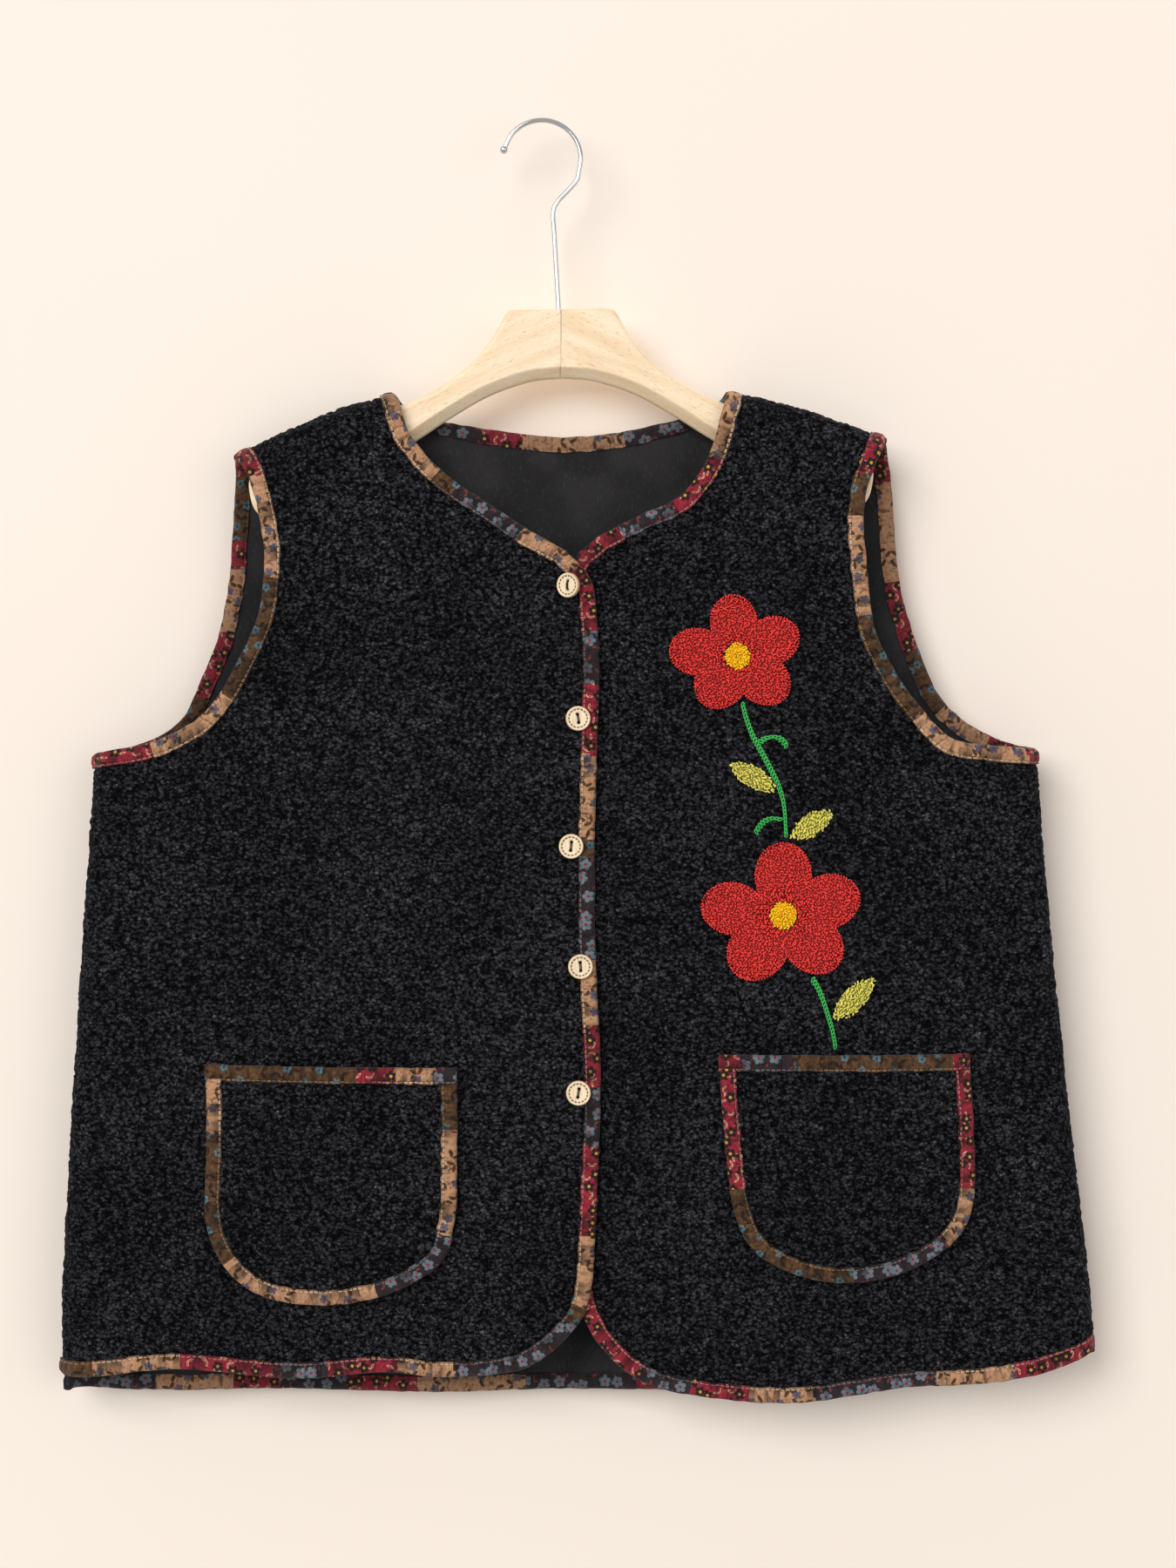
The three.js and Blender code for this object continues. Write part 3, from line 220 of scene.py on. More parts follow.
# Raised leaves, columns: base x, base z, tip x, tip z, width
LEAVES = [
    (144.3, -415, 116.2, -398.5, 13.4), (153, -444.3, 179, -428, 14.5),
    (179.8, -556.2, 204.7, -530.5, 14.2),
]
LEAF_TIP = 0.2             # half width of a leaf at its two ends
LEAF_FULLNESS = 0.65       # power of the sine of its length that gives the half width
# Looped yarn: a loop's span, rise and half thickness, and the pitch of the loops in each part
LOOP = {"span": 1.15, "rise": 1.0, "yarn": 0.46}
LOOP_PITCH = {"petals": 1.72, "rim": 1.8, "eye": 1.7, "leaf": 1.6}
# Ground under the loops, columns: share of the way out, height off the middle of the cloth
FOOT = 0.2
PETAL_GROUND = [
    (0, FOOT), (0, RAISED_FROM + 0.6), (0.3, RAISED_FROM + 1.3), (0.7, RAISED_FROM + 1.3),
    (0.9, RAISED_FROM + 0.9), (0.98, RAISED_FROM), (0.98, FOOT),
]
LEAF_GROUND = [
    (0.96, FOOT), (0.96, RAISED_FROM - 0.2), (0.8, RAISED_FROM + 0.5), (0.5, RAISED_FROM + 0.8),
    (0.1, RAISED_FROM + 0.9), (0.1, FOOT),
]
FARTHEST_PETAL = 54        # half the box that a flower's honeycomb of loops fills
# Chain stitch: pitch, half length and half width of a ring, and half thickness of its yarn
CHAIN = {"pitch": 2.3, "long": 1.75, "wide": 0.7, "yarn": 0.43}
STEMS = {
    "stem_upper": [
        (123.8, -362), (126, -371), (130, -381.5), (133.8, -388.5), (140.5, -401),
        (146.3, -413.5), (149.2, -425), (150.4, -443.5),
    ],
    "stem_lower": [
        (166.9, -531), (170.3, -537), (173, -543.5), (176.3, -553.7), (179, -563), (181, -573.5),
    ],
    "curl_upper": [
        (134.6, -384.9), (137.5, -383), (141, -382.1), (145.3, -382.4), (149.5, -385.7),
        (151.3, -389.5),
    ],
    "curl_lower": [(147.2, -432.6), (142, -431.9), (136.8, -434.3), (133, -439), (131.4, -442.3)],
}

# Wooden hanger: outlines from the middle outwards
HANGER = {"x": 12.0, "thickness": 13.0, "round": 3.0, "tilt": 0.0165}
ARM_TOP = [(104, 6.2), (118, 3.8), (134, 3.8), (148, 3.8), (173, 3.8), (189, 4.4)]
HANGER_TOP = [(33, -116.5), (43, -134), (54, -147.5), (68, -159), (83, -168)]
HANGER_LOW = [
    (194, -222), (190, -238), (178, -243), (150, -231), (95, -199), (70, -183), (45, -169),
    (22, -161),
]
ARCH_TOP = -158.7
BEECH = [(251, 231, 200), (240, 212, 172), (190, 142, 94)]    # pale, warm and pores
GRAIN_PER_METRE = 120
ARCH_CUT = {"height": 6.2, "back": 0.6}    # slanting cut on the front of the arch
GRAIN_LEAN = 24                            # degrees by which the grain follows each arm
GLUE_LINE = 0.15                           # half the gap at the glued joint
WIRE = {"radius": 1.6, "crown": 24.3, "ball": 2.6, "sweep": (166, 186, 7)}
WIRE_STEM = [
    (21.5, -36), (15.5, -43), (9.5, -49.5), (7, -56), (7.8, -70), (10.3, -114), (11.5, -136),
]


def table(rows, at, column=1):
    """Reads a table by straight lines between its rows."""
    values = np.array(sorted(rows), float)
    return np.interp(at, values[:, 0], values[:, column])


def smooth(value, start, end):
    """A soft step from 0 at start to 1 at end."""
    share = np.clip((value - start) / (end - start), 0, 1)
    return share * share * (3 - 2 * share)


def travel(points):
    """The length travelled along a row of points, 0 at the first."""
    return np.concatenate([[0], np.cumsum(np.linalg.norm(np.diff(points, axis=0), axis=1))])


def ridge(x):
    """Height of the shoulder line, half a wall below its table."""
    return table(RIDGE, x) - HALF


def side_line(hand, z):
    """The side seam's x at a height, half a wall inside its table."""
    return table(SIDES, z, 1 if hand < 0 else 2) - hand * HALF


def roll_share(distance):
    """A quarter round: 0 at the seam and 1 from ROLL inwards."""
    rest = 1 - np.clip(distance / ROLL, 0, 1)
    return np.sqrt(1 - rest * rest)


def rounded_depth(x, z, full):
    """Depth of the middle of a wall, times a quarter round at the top and at both sides."""
    top = roll_share(ridge(x) - z)
    sides = roll_share(x - side_line(-1, z)) * roll_share(side_line(1, z) - x)
    return SEAM + (full - SEAM) * top * sides


def creases(rows, x, z):
    """Sum of soft troughs: each is its depth times a bell across a line, fading past its ends."""
    total = np.zeros(np.broadcast(x, z).shape)
    for x0, z0, x1, z1, width, depth in rows:
        length = math.hypot(x1 - x0, z1 - z0)
        ux, uz = (x1 - x0) / length, (z1 - z0) / length
        along = (x - x0) * ux + (z - z0) * uz
        across = (x - x0) * uz - (z - z0) * ux
        ends = smooth(along, -0.35 * length, 0.3 * length)
        ends = ends * (1 - smooth(along, 0.7 * length, 1.35 * length))
        side = across / width
        total -= depth * ends * (np.exp(-side**2) - 0.5 * np.exp(-((side - 1.9) / 1.3)**2))
    return total


def hem_flute(x, z):
    """A sine across the front that fades in over the last 50 mm above the hem."""
    return 2.5 * smooth(-z, 738, 785) * np.sin((x + 20) / 24)


def back_fold(x, z):
    """A cosine across the back that grows from the underarm down to the pockets."""
    return 3.5 * smooth(-z, 430, 640) * np.cos((x - 12) / 27)


def back_surface(x, z):
    """Middle of the back's wall: half the depth plus folds and creases, rounded at its edges."""
    full = HALF_DEPTH + back_fold(x, z) + creases(BACK_CREASES, x, z)
    return rounded_depth(x, z, full)


def left_front_surface(x, z):
    """Middle of the fronts' wall: half the depth plus flutes and creases, towards -Y."""
    full = HALF_DEPTH + hem_flute(x, z) + creases(FRONT_CREASES, x, z)
    return -rounded_depth(x, z, full)


def right_front_surface(x, z):
    """The same form, eased forward by the lap where it lies over the left front."""
    return left_front_surface(x, z) - LAP * smooth(x, *LAP_RISE)


SURFACES = {
    "back": back_surface,
    "left_front": left_front_surface,
    "right_front": right_front_surface,
}


def lattice(cells, seed, count=3):
    """Repeatable random numbers from 0 to 1 for whole-number cells, by mixing their digits."""
    mixed = np.full(cells.shape[:-1], seed * 7919 + 17, np.uint64)
    for axis in range(cells.shape[-1]):
        mixed = mixed ^ (cells[..., axis].astype(np.int64) + 40000).astype(np.uint64)
        mixed = mixed * np.uint64(0x9E3779B97F4A7C15)
        mixed = mixed ^ (mixed >> np.uint64(29))
    parts = []
    for _ in range(count):
        mixed = mixed * np.uint64(0xBF58476D1CE4E5B9)
        mixed = mixed ^ (mixed >> np.uint64(31))
        parts.append((mixed >> np.uint64(40)).astype(float) / float(1 << 24))
    return np.stack(parts, -1)


def soft_noise(points, pitch, seed, count=1):
    """Smooth noise from 0 to 1: random numbers at the corners of cells, eased in between."""
    scaled = np.asarray(points, float) / pitch
    if scaled.ndim == 1:
        scaled = scaled[:, None]
    base = np.floor(scaled).astype(np.int64)
    share = scaled - base
    share = share * share * (3 - 2 * share)
    dims = scaled.shape[-1]
    total = np.zeros(scaled.shape[:-1] + (count,))
    for corner in range(1 << dims):
        step = np.array([(corner >> axis) & 1 for axis in range(dims)])
        weight = np.prod(np.where(step == 1, share, 1 - share), axis=-1)
        total += weight[..., None] * lattice(base + step, seed, count)
    return total if count > 1 else total[..., 0]


def pile_nubs(points, pitch, seed):
    """Height of the curls, 0 to 1: each is a dome round a random point of its cell, warped."""
    warp = (soft_noise(points, pitch * 1.4, seed + 5, 3) - 0.5) * pitch * 1.1
    scaled = (points + warp) / pitch
    base = np.floor(scaled).astype(np.int64)
    nearest = np.full(len(points), 9.0)
    for i in (-1, 0, 1):
        for j in (-1, 0, 1):
            for k in (-1, 0, 1):
                cell = base + np.array([i, j, k])
                centre = cell + 0.5 + (lattice(cell, seed) - 0.5) * 0.9
                nearest = np.minimum(nearest, ((scaled - centre) ** 2).sum(-1))
    return np.clip(1 - nearest / 0.55, 0, 1) ** 0.7


class FoldLine:
    """A smooth line through table points in the plane of a wall, read by its length in mm.

    Between two points it is the cubic through both that runs parallel to its neighbours.
    """

    def __init__(self, rows, steps=40):
        points = np.array([rows[0], *rows, rows[-1]], float)
        share = np.linspace(0, 1, steps, endpoint=False)[:, None]
        parts = []
        for before, start, end, after in zip(points, points[1:], points[2:], points[3:]):
            leave, arrive = (end - before) / 2, (after - start) / 2
            parts.append(
                (2 * start - 2 * end + leave + arrive) * share**3
                + (3 * end - 3 * start - 2 * leave - arrive) * share**2
                + leave * share
                + start
            )
        self.line = np.vstack([*parts, points[-1:]])
        self.lengths = travel(self.line)
        self.length = self.lengths[-1]

    def at(self, s):
        return (
            np.interp(s, self.lengths, self.line[:, 0]),
            np.interp(s, self.lengths, self.line[:, 1]),
        )

    def heading(self, s):
        ahead, behind = self.at(np.minimum(s + 1.5, self.length)), self.at(np.maximum(s - 1.5, 0))
        dx, dz = ahead[0] - behind[0], ahead[1] - behind[1]
        size = np.hypot(dx, dz)
        return dx / size, dz / size

    def first(self, measure, start=0.0):
        """The length at which a falling measure first reaches 0."""
        s = np.arange(start, self.length, 0.1)
        values = measure(*self.at(s))
        below = np.nonzero(values <= 0)[0]
        return float(s[below[0]]) if len(below) else self.length


def side_gap(side):
    """A measure of how far points lie inside one side seam."""
    return lambda x, z: side * (side_line(side, z) - x)


def stand_off(line, s, d, hand, ends):
    """The plane points at distances d into the cloth from lengths s along a fold line.

    They are square to the line, and near an end they follow the ridge or the side seam instead.
    """
    s, d = np.broadcast_arrays(s, d)
    px, pz = line.at(s)
    tx, tz = line.heading(s)
    x = px - hand * tz * d
    z = pz + hand * tx * d
    for kind, turn, place in ends:
        near = np.abs(s - place) < END_REACH
        if kind == "ridge":
            depth = np.maximum(ridge(px) - pz, 0)
            end_x = px + turn * d
            end_z = ridge(end_x) - depth
            weight = (1 - smooth(depth, *END_BLEND)) * near
        else:
            side, up = turn
            gap = np.maximum(side * (side_line(side, pz) - px), 0)
            end_z = pz + up * d
            end_x = side_line(side, end_z) - side * gap
            weight = (1 - smooth(gap, *END_BLEND)) * near
        x = x + (end_x - x) * weight
        z = z + (end_z - z) * weight
    return x, z


def even_lengths(line, surface, start, end, pitch):
    """Lengths along a fold line whose places on the cloth are evenly apart, rolls included."""
    s = np.linspace(start, end, int((end - start) * 8))
    x, z = line.at(s)
    travelled = travel(np.stack([x, surface(x, z), z], -1))
    count = max(2, int(round(travelled[-1] / pitch)))
    return np.interp(np.linspace(0, travelled[-1], count + 1), travelled, s)


def grid_normals(points, outward):
    """Unit normals of a grid of points, all on the side where y times outward is positive."""
    down, across = np.gradient(points, axis=0), np.gradient(points, axis=1)
    normals = np.cross(down, across)
    flip = np.sign(np.median(normals[..., 1])) * outward
    normals = normals * flip
    return normals / np.maximum(np.linalg.norm(normals, axis=-1, keepdims=True), 1e-9)


def grid_faces(rows, columns, start=0, flip=False, closed=False, ring=False):
    """Four-sided faces of a grid of points numbered row by row.

    closed joins its last column to the first, and ring its last row to the first.
    """
    numbers = start + np.arange(rows * columns).reshape(rows, columns)
    if closed:
        numbers = np.hstack([numbers, numbers[:, :1]])
    if ring:
        numbers = np.vstack([numbers, numbers[:1]])
    faces = np.stack(
        [numbers[:-1, :-1], numbers[1:, :-1], numbers[1:, 1:], numbers[:-1, 1:]], -1
    ).reshape(-1, 4)
    return faces[:, ::-1] if flip else faces


def end_caps(rows, columns):
    """The two end faces of a tube whose points are numbered ring by ring."""
    return np.array([np.arange(columns), (rows - 1) * columns + np.arange(columns)[::-1]])


def repeat_form(form, faces, places, directions, size=None):
    """Copies of one small form, its own three directions laid on those of each place."""
    size = np.ones(len(places)) if size is None else size
    scaled = form[None] * size[:, None, None]
    points = places[:, None] + sum(
        scaled[..., k:k + 1] * direction[:, None] for k, direction in enumerate(directions))
    numbered = faces[None] + len(form) * np.arange(len(places))[:, None, None]
    return points.reshape(-1, 3), numbered.reshape(-1, faces.shape[1])


def outwards(points, groups):
    """Turns every face round where the closed body has a negative volume."""
    volume = 0.0
    for faces, _ in groups:
        first = points[faces[:, 0]]
        for k in range(1, faces.shape[1] - 1):
            second, third = points[faces[:, k]], points[faces[:, k + 1]]
            volume += np.einsum("ij,ij->", first, np.cross(second, third))
    if volume < 0:
        return [(faces[:, ::-1], material) for faces, material in groups]
    return groups


def make_piece(name, points, groups, materials, uv=None, values=None, node=None,
               flat_groups=()):
    """Makes one object that rides on the body, from points in mm and groups of equal faces.

    uv holds one pair of metres for each point, and values named numbers for each point.
    """
    groups = outwards(points, groups)
    mesh = bpy.data.meshes.new(name)
    mesh.vertices.add(len(points))
    mesh.vertices.foreach_set("co", (points * MM).astype(np.float32).ravel())
    corners = np.concatenate([faces.ravel() for faces, _ in groups])
    sizes = np.concatenate([np.full(len(faces), faces.shape[1]) for faces, _ in groups])
    mesh.loops.add(len(corners))
    mesh.loops.foreach_set("vertex_index", corners.astype(np.int32))
    mesh.polygons.add(len(sizes))
    starts = np.concatenate([[0], np.cumsum(sizes)[:-1]]).astype(np.int32)
    mesh.polygons.foreach_set("loop_start", starts)
    index = np.concatenate([
        np.broadcast_to(np.asarray(material), (len(faces),)) for faces, material in groups
    ])
    mesh.polygons.foreach_set("material_index", index.astype(np.int32))
    soft = np.concatenate([
        np.full(len(faces), k not in flat_groups) for k, (faces, _) in enumerate(groups)
    ])
    mesh.polygons.foreach_set("use_smooth", soft)
    if uv is not None:
        layer = mesh.uv_layers.new(name="cut")
        layer.data.foreach_set("uv", uv[corners].astype(np.float32).ravel())
    for key, numbers in (values or {}).items():
        attribute = mesh.attributes.new(key, "FLOAT", "POINT")
        attribute.data.foreach_set("value", numbers.astype(np.float32))
    mesh.update(calc_edges=True)
    mesh.validate()
    piece = bpy.data.objects.new(name, mesh)
    bpy.context.scene.collection.objects.link(piece)
    for material in materials:
        mesh.materials.append(material)
    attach(piece, "root")
    if node:
        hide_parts(*([node] if isinstance(node, str) else node))
    return piece


class Finish:
    """One procedural material, with short ways to add its nodes."""

    def __init__(self, name, roughness=0.8, metallic=0.0):
        self.material = bpy.data.materials.new(name)
        self.material.use_nodes = True
        self.tree = self.material.node_tree
        self.shader = self.tree.nodes["Principled BSDF"]
        self.shader.inputs["Roughness"].default_value = roughness
        self.shader.inputs["Metallic"].default_value = metallic

    def node(self, kind, inputs=None, **settings):
        made = self.tree.nodes.new(kind)
        for key, value in settings.items():
            setattr(made, key, value)
        for key, value in (inputs or {}).items():
            self.feed(made.inputs[key], value)
        return made

    def feed(self, socket, value):
        if isinstance(value, bpy.types.NodeSocket):
            self.tree.links.new(value, socket)
        else:
            socket.default_value = value

    def math(self, operation, first, second=0.0, third=0.0):
        made = self.node("ShaderNodeMath", operation=operation)
        for socket, value in zip(made.inputs, (first, second, third)):
            self.feed(socket, value)
        return made.outputs[0]

    def mix(self, share, first, second):
        made = self.node("ShaderNodeMix", data_type="RGBA")
        self.feed(made.inputs[0], share)
        self.feed(made.inputs[6], first)
        self.feed(made.inputs[7], second)
        return made.outputs[2]

    def step(self, value, start, end, low=0.0, high=1.0):
        made = self.node("ShaderNodeMapRange", interpolation_type="SMOOTHSTEP")
        for socket, number in zip(made.inputs, (value, start, end, low, high)):
            self.feed(socket, number)
        return made.outputs[0]

    def object_place(self):
        return self.node("ShaderNodeTexCoord").outputs["Object"]

    def cut_place(self):
        return self.node("ShaderNodeUVMap", uv_map="cut").outputs["UV"]

    def moved(self, place, scale=(1, 1, 1), shift=(0, 0, 0), turn=(0, 0, 0)):
        made = self.node("ShaderNodeMapping")
        made.inputs["Location"].default_value = shift
        made.inputs["Rotation"].default_value = turn
        made.inputs["Scale"].default_value = scale
        self.feed(made.inputs["Vector"], place)
        return made.outputs[0]

    def noise(self, place, per_metre, detail=2.0, distortion=0.0, roughness=0.5):
        return self.node("ShaderNodeTexNoise", {
            "Vector": place, "Scale": per_metre, "Detail": detail,
            "Distortion": distortion, "Roughness": roughness,
        }).outputs["Fac"]

    def cells(self, place, per_metre, feature="F1", dimensions="3D", randomness=1.0):
        return self.node(
            "ShaderNodeTexVoronoi",
            {"Vector": place, "Scale": per_metre, "Randomness": randomness},
            feature=feature, voronoi_dimensions=dimensions,
        )

    def split(self, place):
        return self.node("ShaderNodeSeparateXYZ", {"Vector": place}).outputs

    def distance(self, x, y):
        return self.math("SQRT", self.math(
            "ADD", self.math("MULTIPLY", x, x), self.math("MULTIPLY", y, y)))

    def attribute(self, name):
        return self.node("ShaderNodeAttribute", attribute_name=name).outputs["Fac"]

    def bump(self, height, distance, strength=1.0):
        return self.node("ShaderNodeBump", {
            "Height": height, "Distance": distance, "Strength": strength,
        }).outputs[0]

    def done(self, colour=None, roughness=None, normal=None, **constants):
        if colour is not None:
            self.feed(self.shader.inputs["Base Color"], colour)
        if roughness is not None:
            self.feed(self.shader.inputs["Roughness"], roughness)
        if normal is not None:
            self.feed(self.shader.inputs["Normal"], normal)
        for key, value in constants.items():
            self.shader.inputs[key.replace("_", " ")].default_value = value
        return self.material


def rgb(red, green, blue):
    """A colour from its 0 to 255 screen values, as the linear numbers that a shader takes."""
    parts = [c / 255 for c in (red, green, blue)]
    linear = [c / 12.92 if c <= 0.04045 else ((c + 0.055) / 1.055) ** 2.4 for c in parts]
    return (*linear, 1.0)


def sherpa_finish():
    """Black curls: twisted ridges of yarn, broken into short lengths, with painted highlight on
    them and painted shade in the gaps between.

    A ridge lies where a noise passes through its middle value, and cells break the ridges up.
    Both are drawn out sideways, as the curls lie in rows across the cloth.
    """
    f = Finish("sherpa", 0.62)
    place = f.object_place()
    lying = f.moved(place, (0.82, 1, 1.04), turn=(0, 0.12, 0))
    twist = f.noise(lying, 430, 1.0, 1.2, 0.5)
    off = f.math("ABSOLUTE", f.math("SUBTRACT", twist, 0.5))
    worm = f.step(off, 0.085, 0.0)
    clump = f.cells(lying, 430)
    tuft = f.step(clump.outputs["Distance"], 0.75, 0.1)
    fibres = f.noise(place, 1900, 2.0, 0.6)
    patches = f.noise(place, 14, 2.0)
    top = f.attribute("pile")
    curl = f.math("MULTIPLY", worm, f.math("MULTIPLY_ADD", tuft, 0.75, 0.25))
    height = f.math("ADD", f.math("MULTIPLY_ADD", tuft, 0.5, f.math("MULTIPLY", curl, 0.6)),
                    f.math("MULTIPLY", fibres, 0.12))
    # Painted highlight on the curls, the tufts and the tops of the pile, and painted shade in the
    # gaps and on low pile; lumps and patches only vary the tone at random.
    lit = f.math("MULTIPLY", f.math("MULTIPLY_ADD", curl, 0.9, f.math("MULTIPLY", tuft, 0.3)),
                 f.math("MULTIPLY_ADD", top, 0.6, 0.4))
    lumps = f.step(f.noise(lying, 230, 1.0), 0.36, 0.64, 0.76, 1.16)
    spread = f.math("MULTIPLY", lumps, f.step(patches, 0.3, 0.7, 0.85, 1.15))
    lit = f.math("MAXIMUM", f.math("MULTIPLY_ADD", lit, spread, -0.04), 0.0)
    shade = f.mix(lit, rgb(3, 3, 4), rgb(110, 111, 120))
    return f.done(
        shade, f.step(fibres, 0.3, 0.7, 0.55, 0.75), f.bump(height, 0.0024, 1.0),
        Sheen_Weight=0.01, Sheen_Roughness=0.5, Sheen_Tint=rgb(170, 176, 190),
        Specular_IOR_Level=0.03,
    )


def reverse_finish():
    """The smooth side of the fleece: a dark brushed knit."""
    f = Finish("fleece_reverse", 0.95)
    place = f.object_place()
    brushed = f.noise(f.moved(place, (1, 1, 0.35)), 900, 3.0, 0.3)
    cloudy = f.noise(place, 30, 2.0)
    colour = f.mix(f.step(cloudy, 0.35, 0.7), rgb(31, 30, 32), rgb(42, 41, 43))
    colour = f.mix(f.step(brushed, 0.5, 0.8, 0.0, 0.5), colour, rgb(66, 65, 68))
    return f.done(
        colour, f.step(brushed, 0.3, 0.7, 0.88, 1.0), f.bump(brushed, 0.0004, 0.6),
        Sheen_Weight=0.06, Sheen_Roughness=0.6, Specular_IOR_Level=0.15,
    )


class Print(Finish):
    """A printed cotton: motifs lie in cells of the cut tape, in metres along and across it."""

    def __init__(self, name, ground, lighter):
        super().__init__(name, 0.85)
        self.place = self.cut_place()
        mottle = self.noise(self.place, 450, 3.0, 0.5)
        self.colour = self.mix(self.step(mottle, 0.35, 0.7), ground, lighter)

    def motif(self, pitch, shift):
        """The place inside each motif's own cell, turned at random, as x, y, radius and angle."""
        moved = self.moved(self.place, shift=(*shift, 0))
        cell = self.cells(moved, 1 / pitch, "F1", "2D", 0.75)
        offset = self.node("ShaderNodeVectorMath", operation="SUBTRACT")
        self.feed(offset.inputs[0], moved)
        self.feed(offset.inputs[1], cell.outputs["Position"])
        chance = self.node("ShaderNodeSeparateColor", {"Color": cell.outputs["Color"]})
        turn = self.node("ShaderNodeVectorRotate", {
            "Vector": offset.outputs[0],
            "Angle": self.math("MULTIPLY", chance.outputs[0], 2 * math.pi),
        }, rotation_type="Z_AXIS")
        x, y, _ = self.split(turn.outputs[0])
        return x, y, self.distance(x, y), self.math("ARCTAN2", y, x)

    def flower(self, pitch, shift, size, petals, colour, eye, eye_size):
        """Round petals: the rim is size times a share plus the root of half as fast a cosine."""
        _, _, radius, angle = self.motif(pitch, shift)
        wave = self.math("ABSOLUTE", self.math(
            "COSINE", self.math("MULTIPLY", angle, petals / 2)))
        rim = self.math("MULTIPLY_ADD", self.math("SQRT", wave), 0.5 * size, 0.5 * size)
        inside = self.step(self.math("SUBTRACT", rim, radius), 0.0, 0.0004)
        self.colour = self.mix(inside, self.colour, colour)
        centre = self.step(self.math("SUBTRACT", eye_size, radius), 0.0, 0.0003)
        self.colour = self.mix(centre, self.colour, eye)

    def sprig(self, pitch, shift, length, width, colour, hollow=0.0):
        """Two leaves in a V: ovals of the given half length and half width, open or filled."""
        x, y, _, _ = self.motif(pitch, shift)
        x = self.math("ADD", x, 0.6 * length)
        beside = self.math("ABSOLUTE", y)
        lean, rise = math.cos(0.85), math.sin(0.85)
        forth = self.math("MULTIPLY_ADD", x, lean, self.math("MULTIPLY", beside, rise))
        aside = self.math("MULTIPLY_ADD", x, -rise, self.math("MULTIPLY", beside, lean))
        across = self.math("DIVIDE", aside, width)
        along = self.math("DIVIDE", self.math("SUBTRACT", forth, length), length)
        oval = self.distance(across, along)
        inside = self.step(oval, 1.0, 0.85)
        if hollow:
            inside = self.math("MULTIPLY", inside, self.step(oval, hollow - 0.15, hollow))
        self.colour = self.mix(inside, self.colour, colour)

    def finish(self, thread):
        """Weave, painted shade in the puckers, the wrinkles, the fold, the sewn groove and the
        inner edge, and the stitch line just inside the sewn edge.
        """
        along, across, _ = self.split(self.place)
        off_line = self.math("ABSOLUTE", self.math("SUBTRACT", across, SEWN_AT * MM))
        dash = self.math("FRACT", self.math("DIVIDE", along, STITCH * MM))
        on = self.math("MULTIPLY", self.step(off_line, 0.0005, 0.0003), self.step(dash, 0.24, 0.3))
        # Painted shade along the groove of the sewn line, at the inner edge, at the fold and in the
        # valleys of the gathers.
        pulled = self.step(off_line, 0.0012, 0.0004, 0.0, 0.4)
        turned = self.step(across, 0.0092, 0.0104, 0.0, 0.6)
        folded = self.step(across, 0.0014, 0.0002, 0.0, 0.4)
        pucker_shade = self.math("MULTIPLY", self.step(self.attribute("gathered"), 0.55, 0.2, 0.0, 0.72),
                           self.step(across, 0.002, 0.008, 0.5, 1.0))
        shaded = self.math("MAXIMUM", self.math("MAXIMUM", pulled, pucker_shade),
                           self.math("MAXIMUM", turned, folded))
        self.colour = self.mix(shaded, self.colour, rgb(20, 13, 13))
        self.colour = self.mix(self.math("MULTIPLY", on, 0.7), self.colour, thread)
        weave = self.math("ADD", *[
            self.math("SINE", self.math("MULTIPLY", part, 2 * math.pi / 0.00055))
            for part in (along, across)
        ])
        wrinkles = self.noise(self.moved(self.place, (1, 0.35, 1)), 380, 2.0, 0.9)
        height = self.math("MULTIPLY_ADD", weave, 0.04, wrinkles)
        # Painted shade in the valleys of the wrinkles.
        shade = self.mix(self.step(wrinkles, 0.5, 0.27, 0.0, 0.68), self.colour, rgb(16, 11, 11))
        return self.done(
            shade, self.step(wrinkles, 0.3, 0.7, 0.78, 0.92), self.bump(height, 0.0014, 0.9),
            Sheen_Weight=0.08, Specular_IOR_Level=0.2,
        )


def print_finishes():
    """The four cottons of the patchwork, in the order RED, TAN, BROWN, CHARCOAL."""
    red = Print("cotton_red", rgb(134, 30, 46), rgb(162, 46, 62))
    red.sprig(0.0082, (0.011, 0.007), 0.0019, 0.0007, rgb(222, 172, 140), 0.55)
    red.flower(0.0098, (0.003, 0.001), 0.0037, 5, rgb(42, 26, 28), rgb(222, 160, 60), 0.0011)
    tan = Print("cotton_tan", rgb(180, 134, 100), rgb(204, 158, 122))
    tan.sprig(0.0106, (0.002, 0.004), 0.0027, 0.0012, rgb(86, 60, 36))
    tan.flower(0.0134, (0.019, 0.003), 0.0031, 5, rgb(92, 98, 112), rgb(150, 44, 56), 0.0009)
    tan.flower(0.0105, (0.031, 0.013), 0.0008, 3, rgb(170, 48, 48), rgb(170, 48, 48), 0.0003)
    brown = Print("cotton_brown", rgb(78, 54, 34), rgb(108, 77, 49))
    brown.sprig(0.0098, (0.007, 0.002), 0.0025, 0.0011, rgb(46, 32, 22))
    brown.flower(0.0122, (0.005, 0.017), 0.0028, 5, rgb(84, 118, 128), rgb(44, 56, 66), 0.0009)
    charcoal = Print("cotton_charcoal", rgb(40, 31, 35), rgb(54, 43, 47))
    charcoal.sprig(0.0090, (0.001, 0.012), 0.0016, 0.0007, rgb(120, 60, 60))
    charcoal.flower(0.0102, (0.013, 0.009), 0.0040, 5, rgb(108, 124, 134), rgb(158, 34, 52), 0.0011)
    threads = (rgb(200, 130, 128), rgb(232, 198, 168), rgb(158, 122, 88), rgb(132, 120, 120))
    return [f.finish(t) for f, t in zip((red, tan, brown, charcoal), threads)]


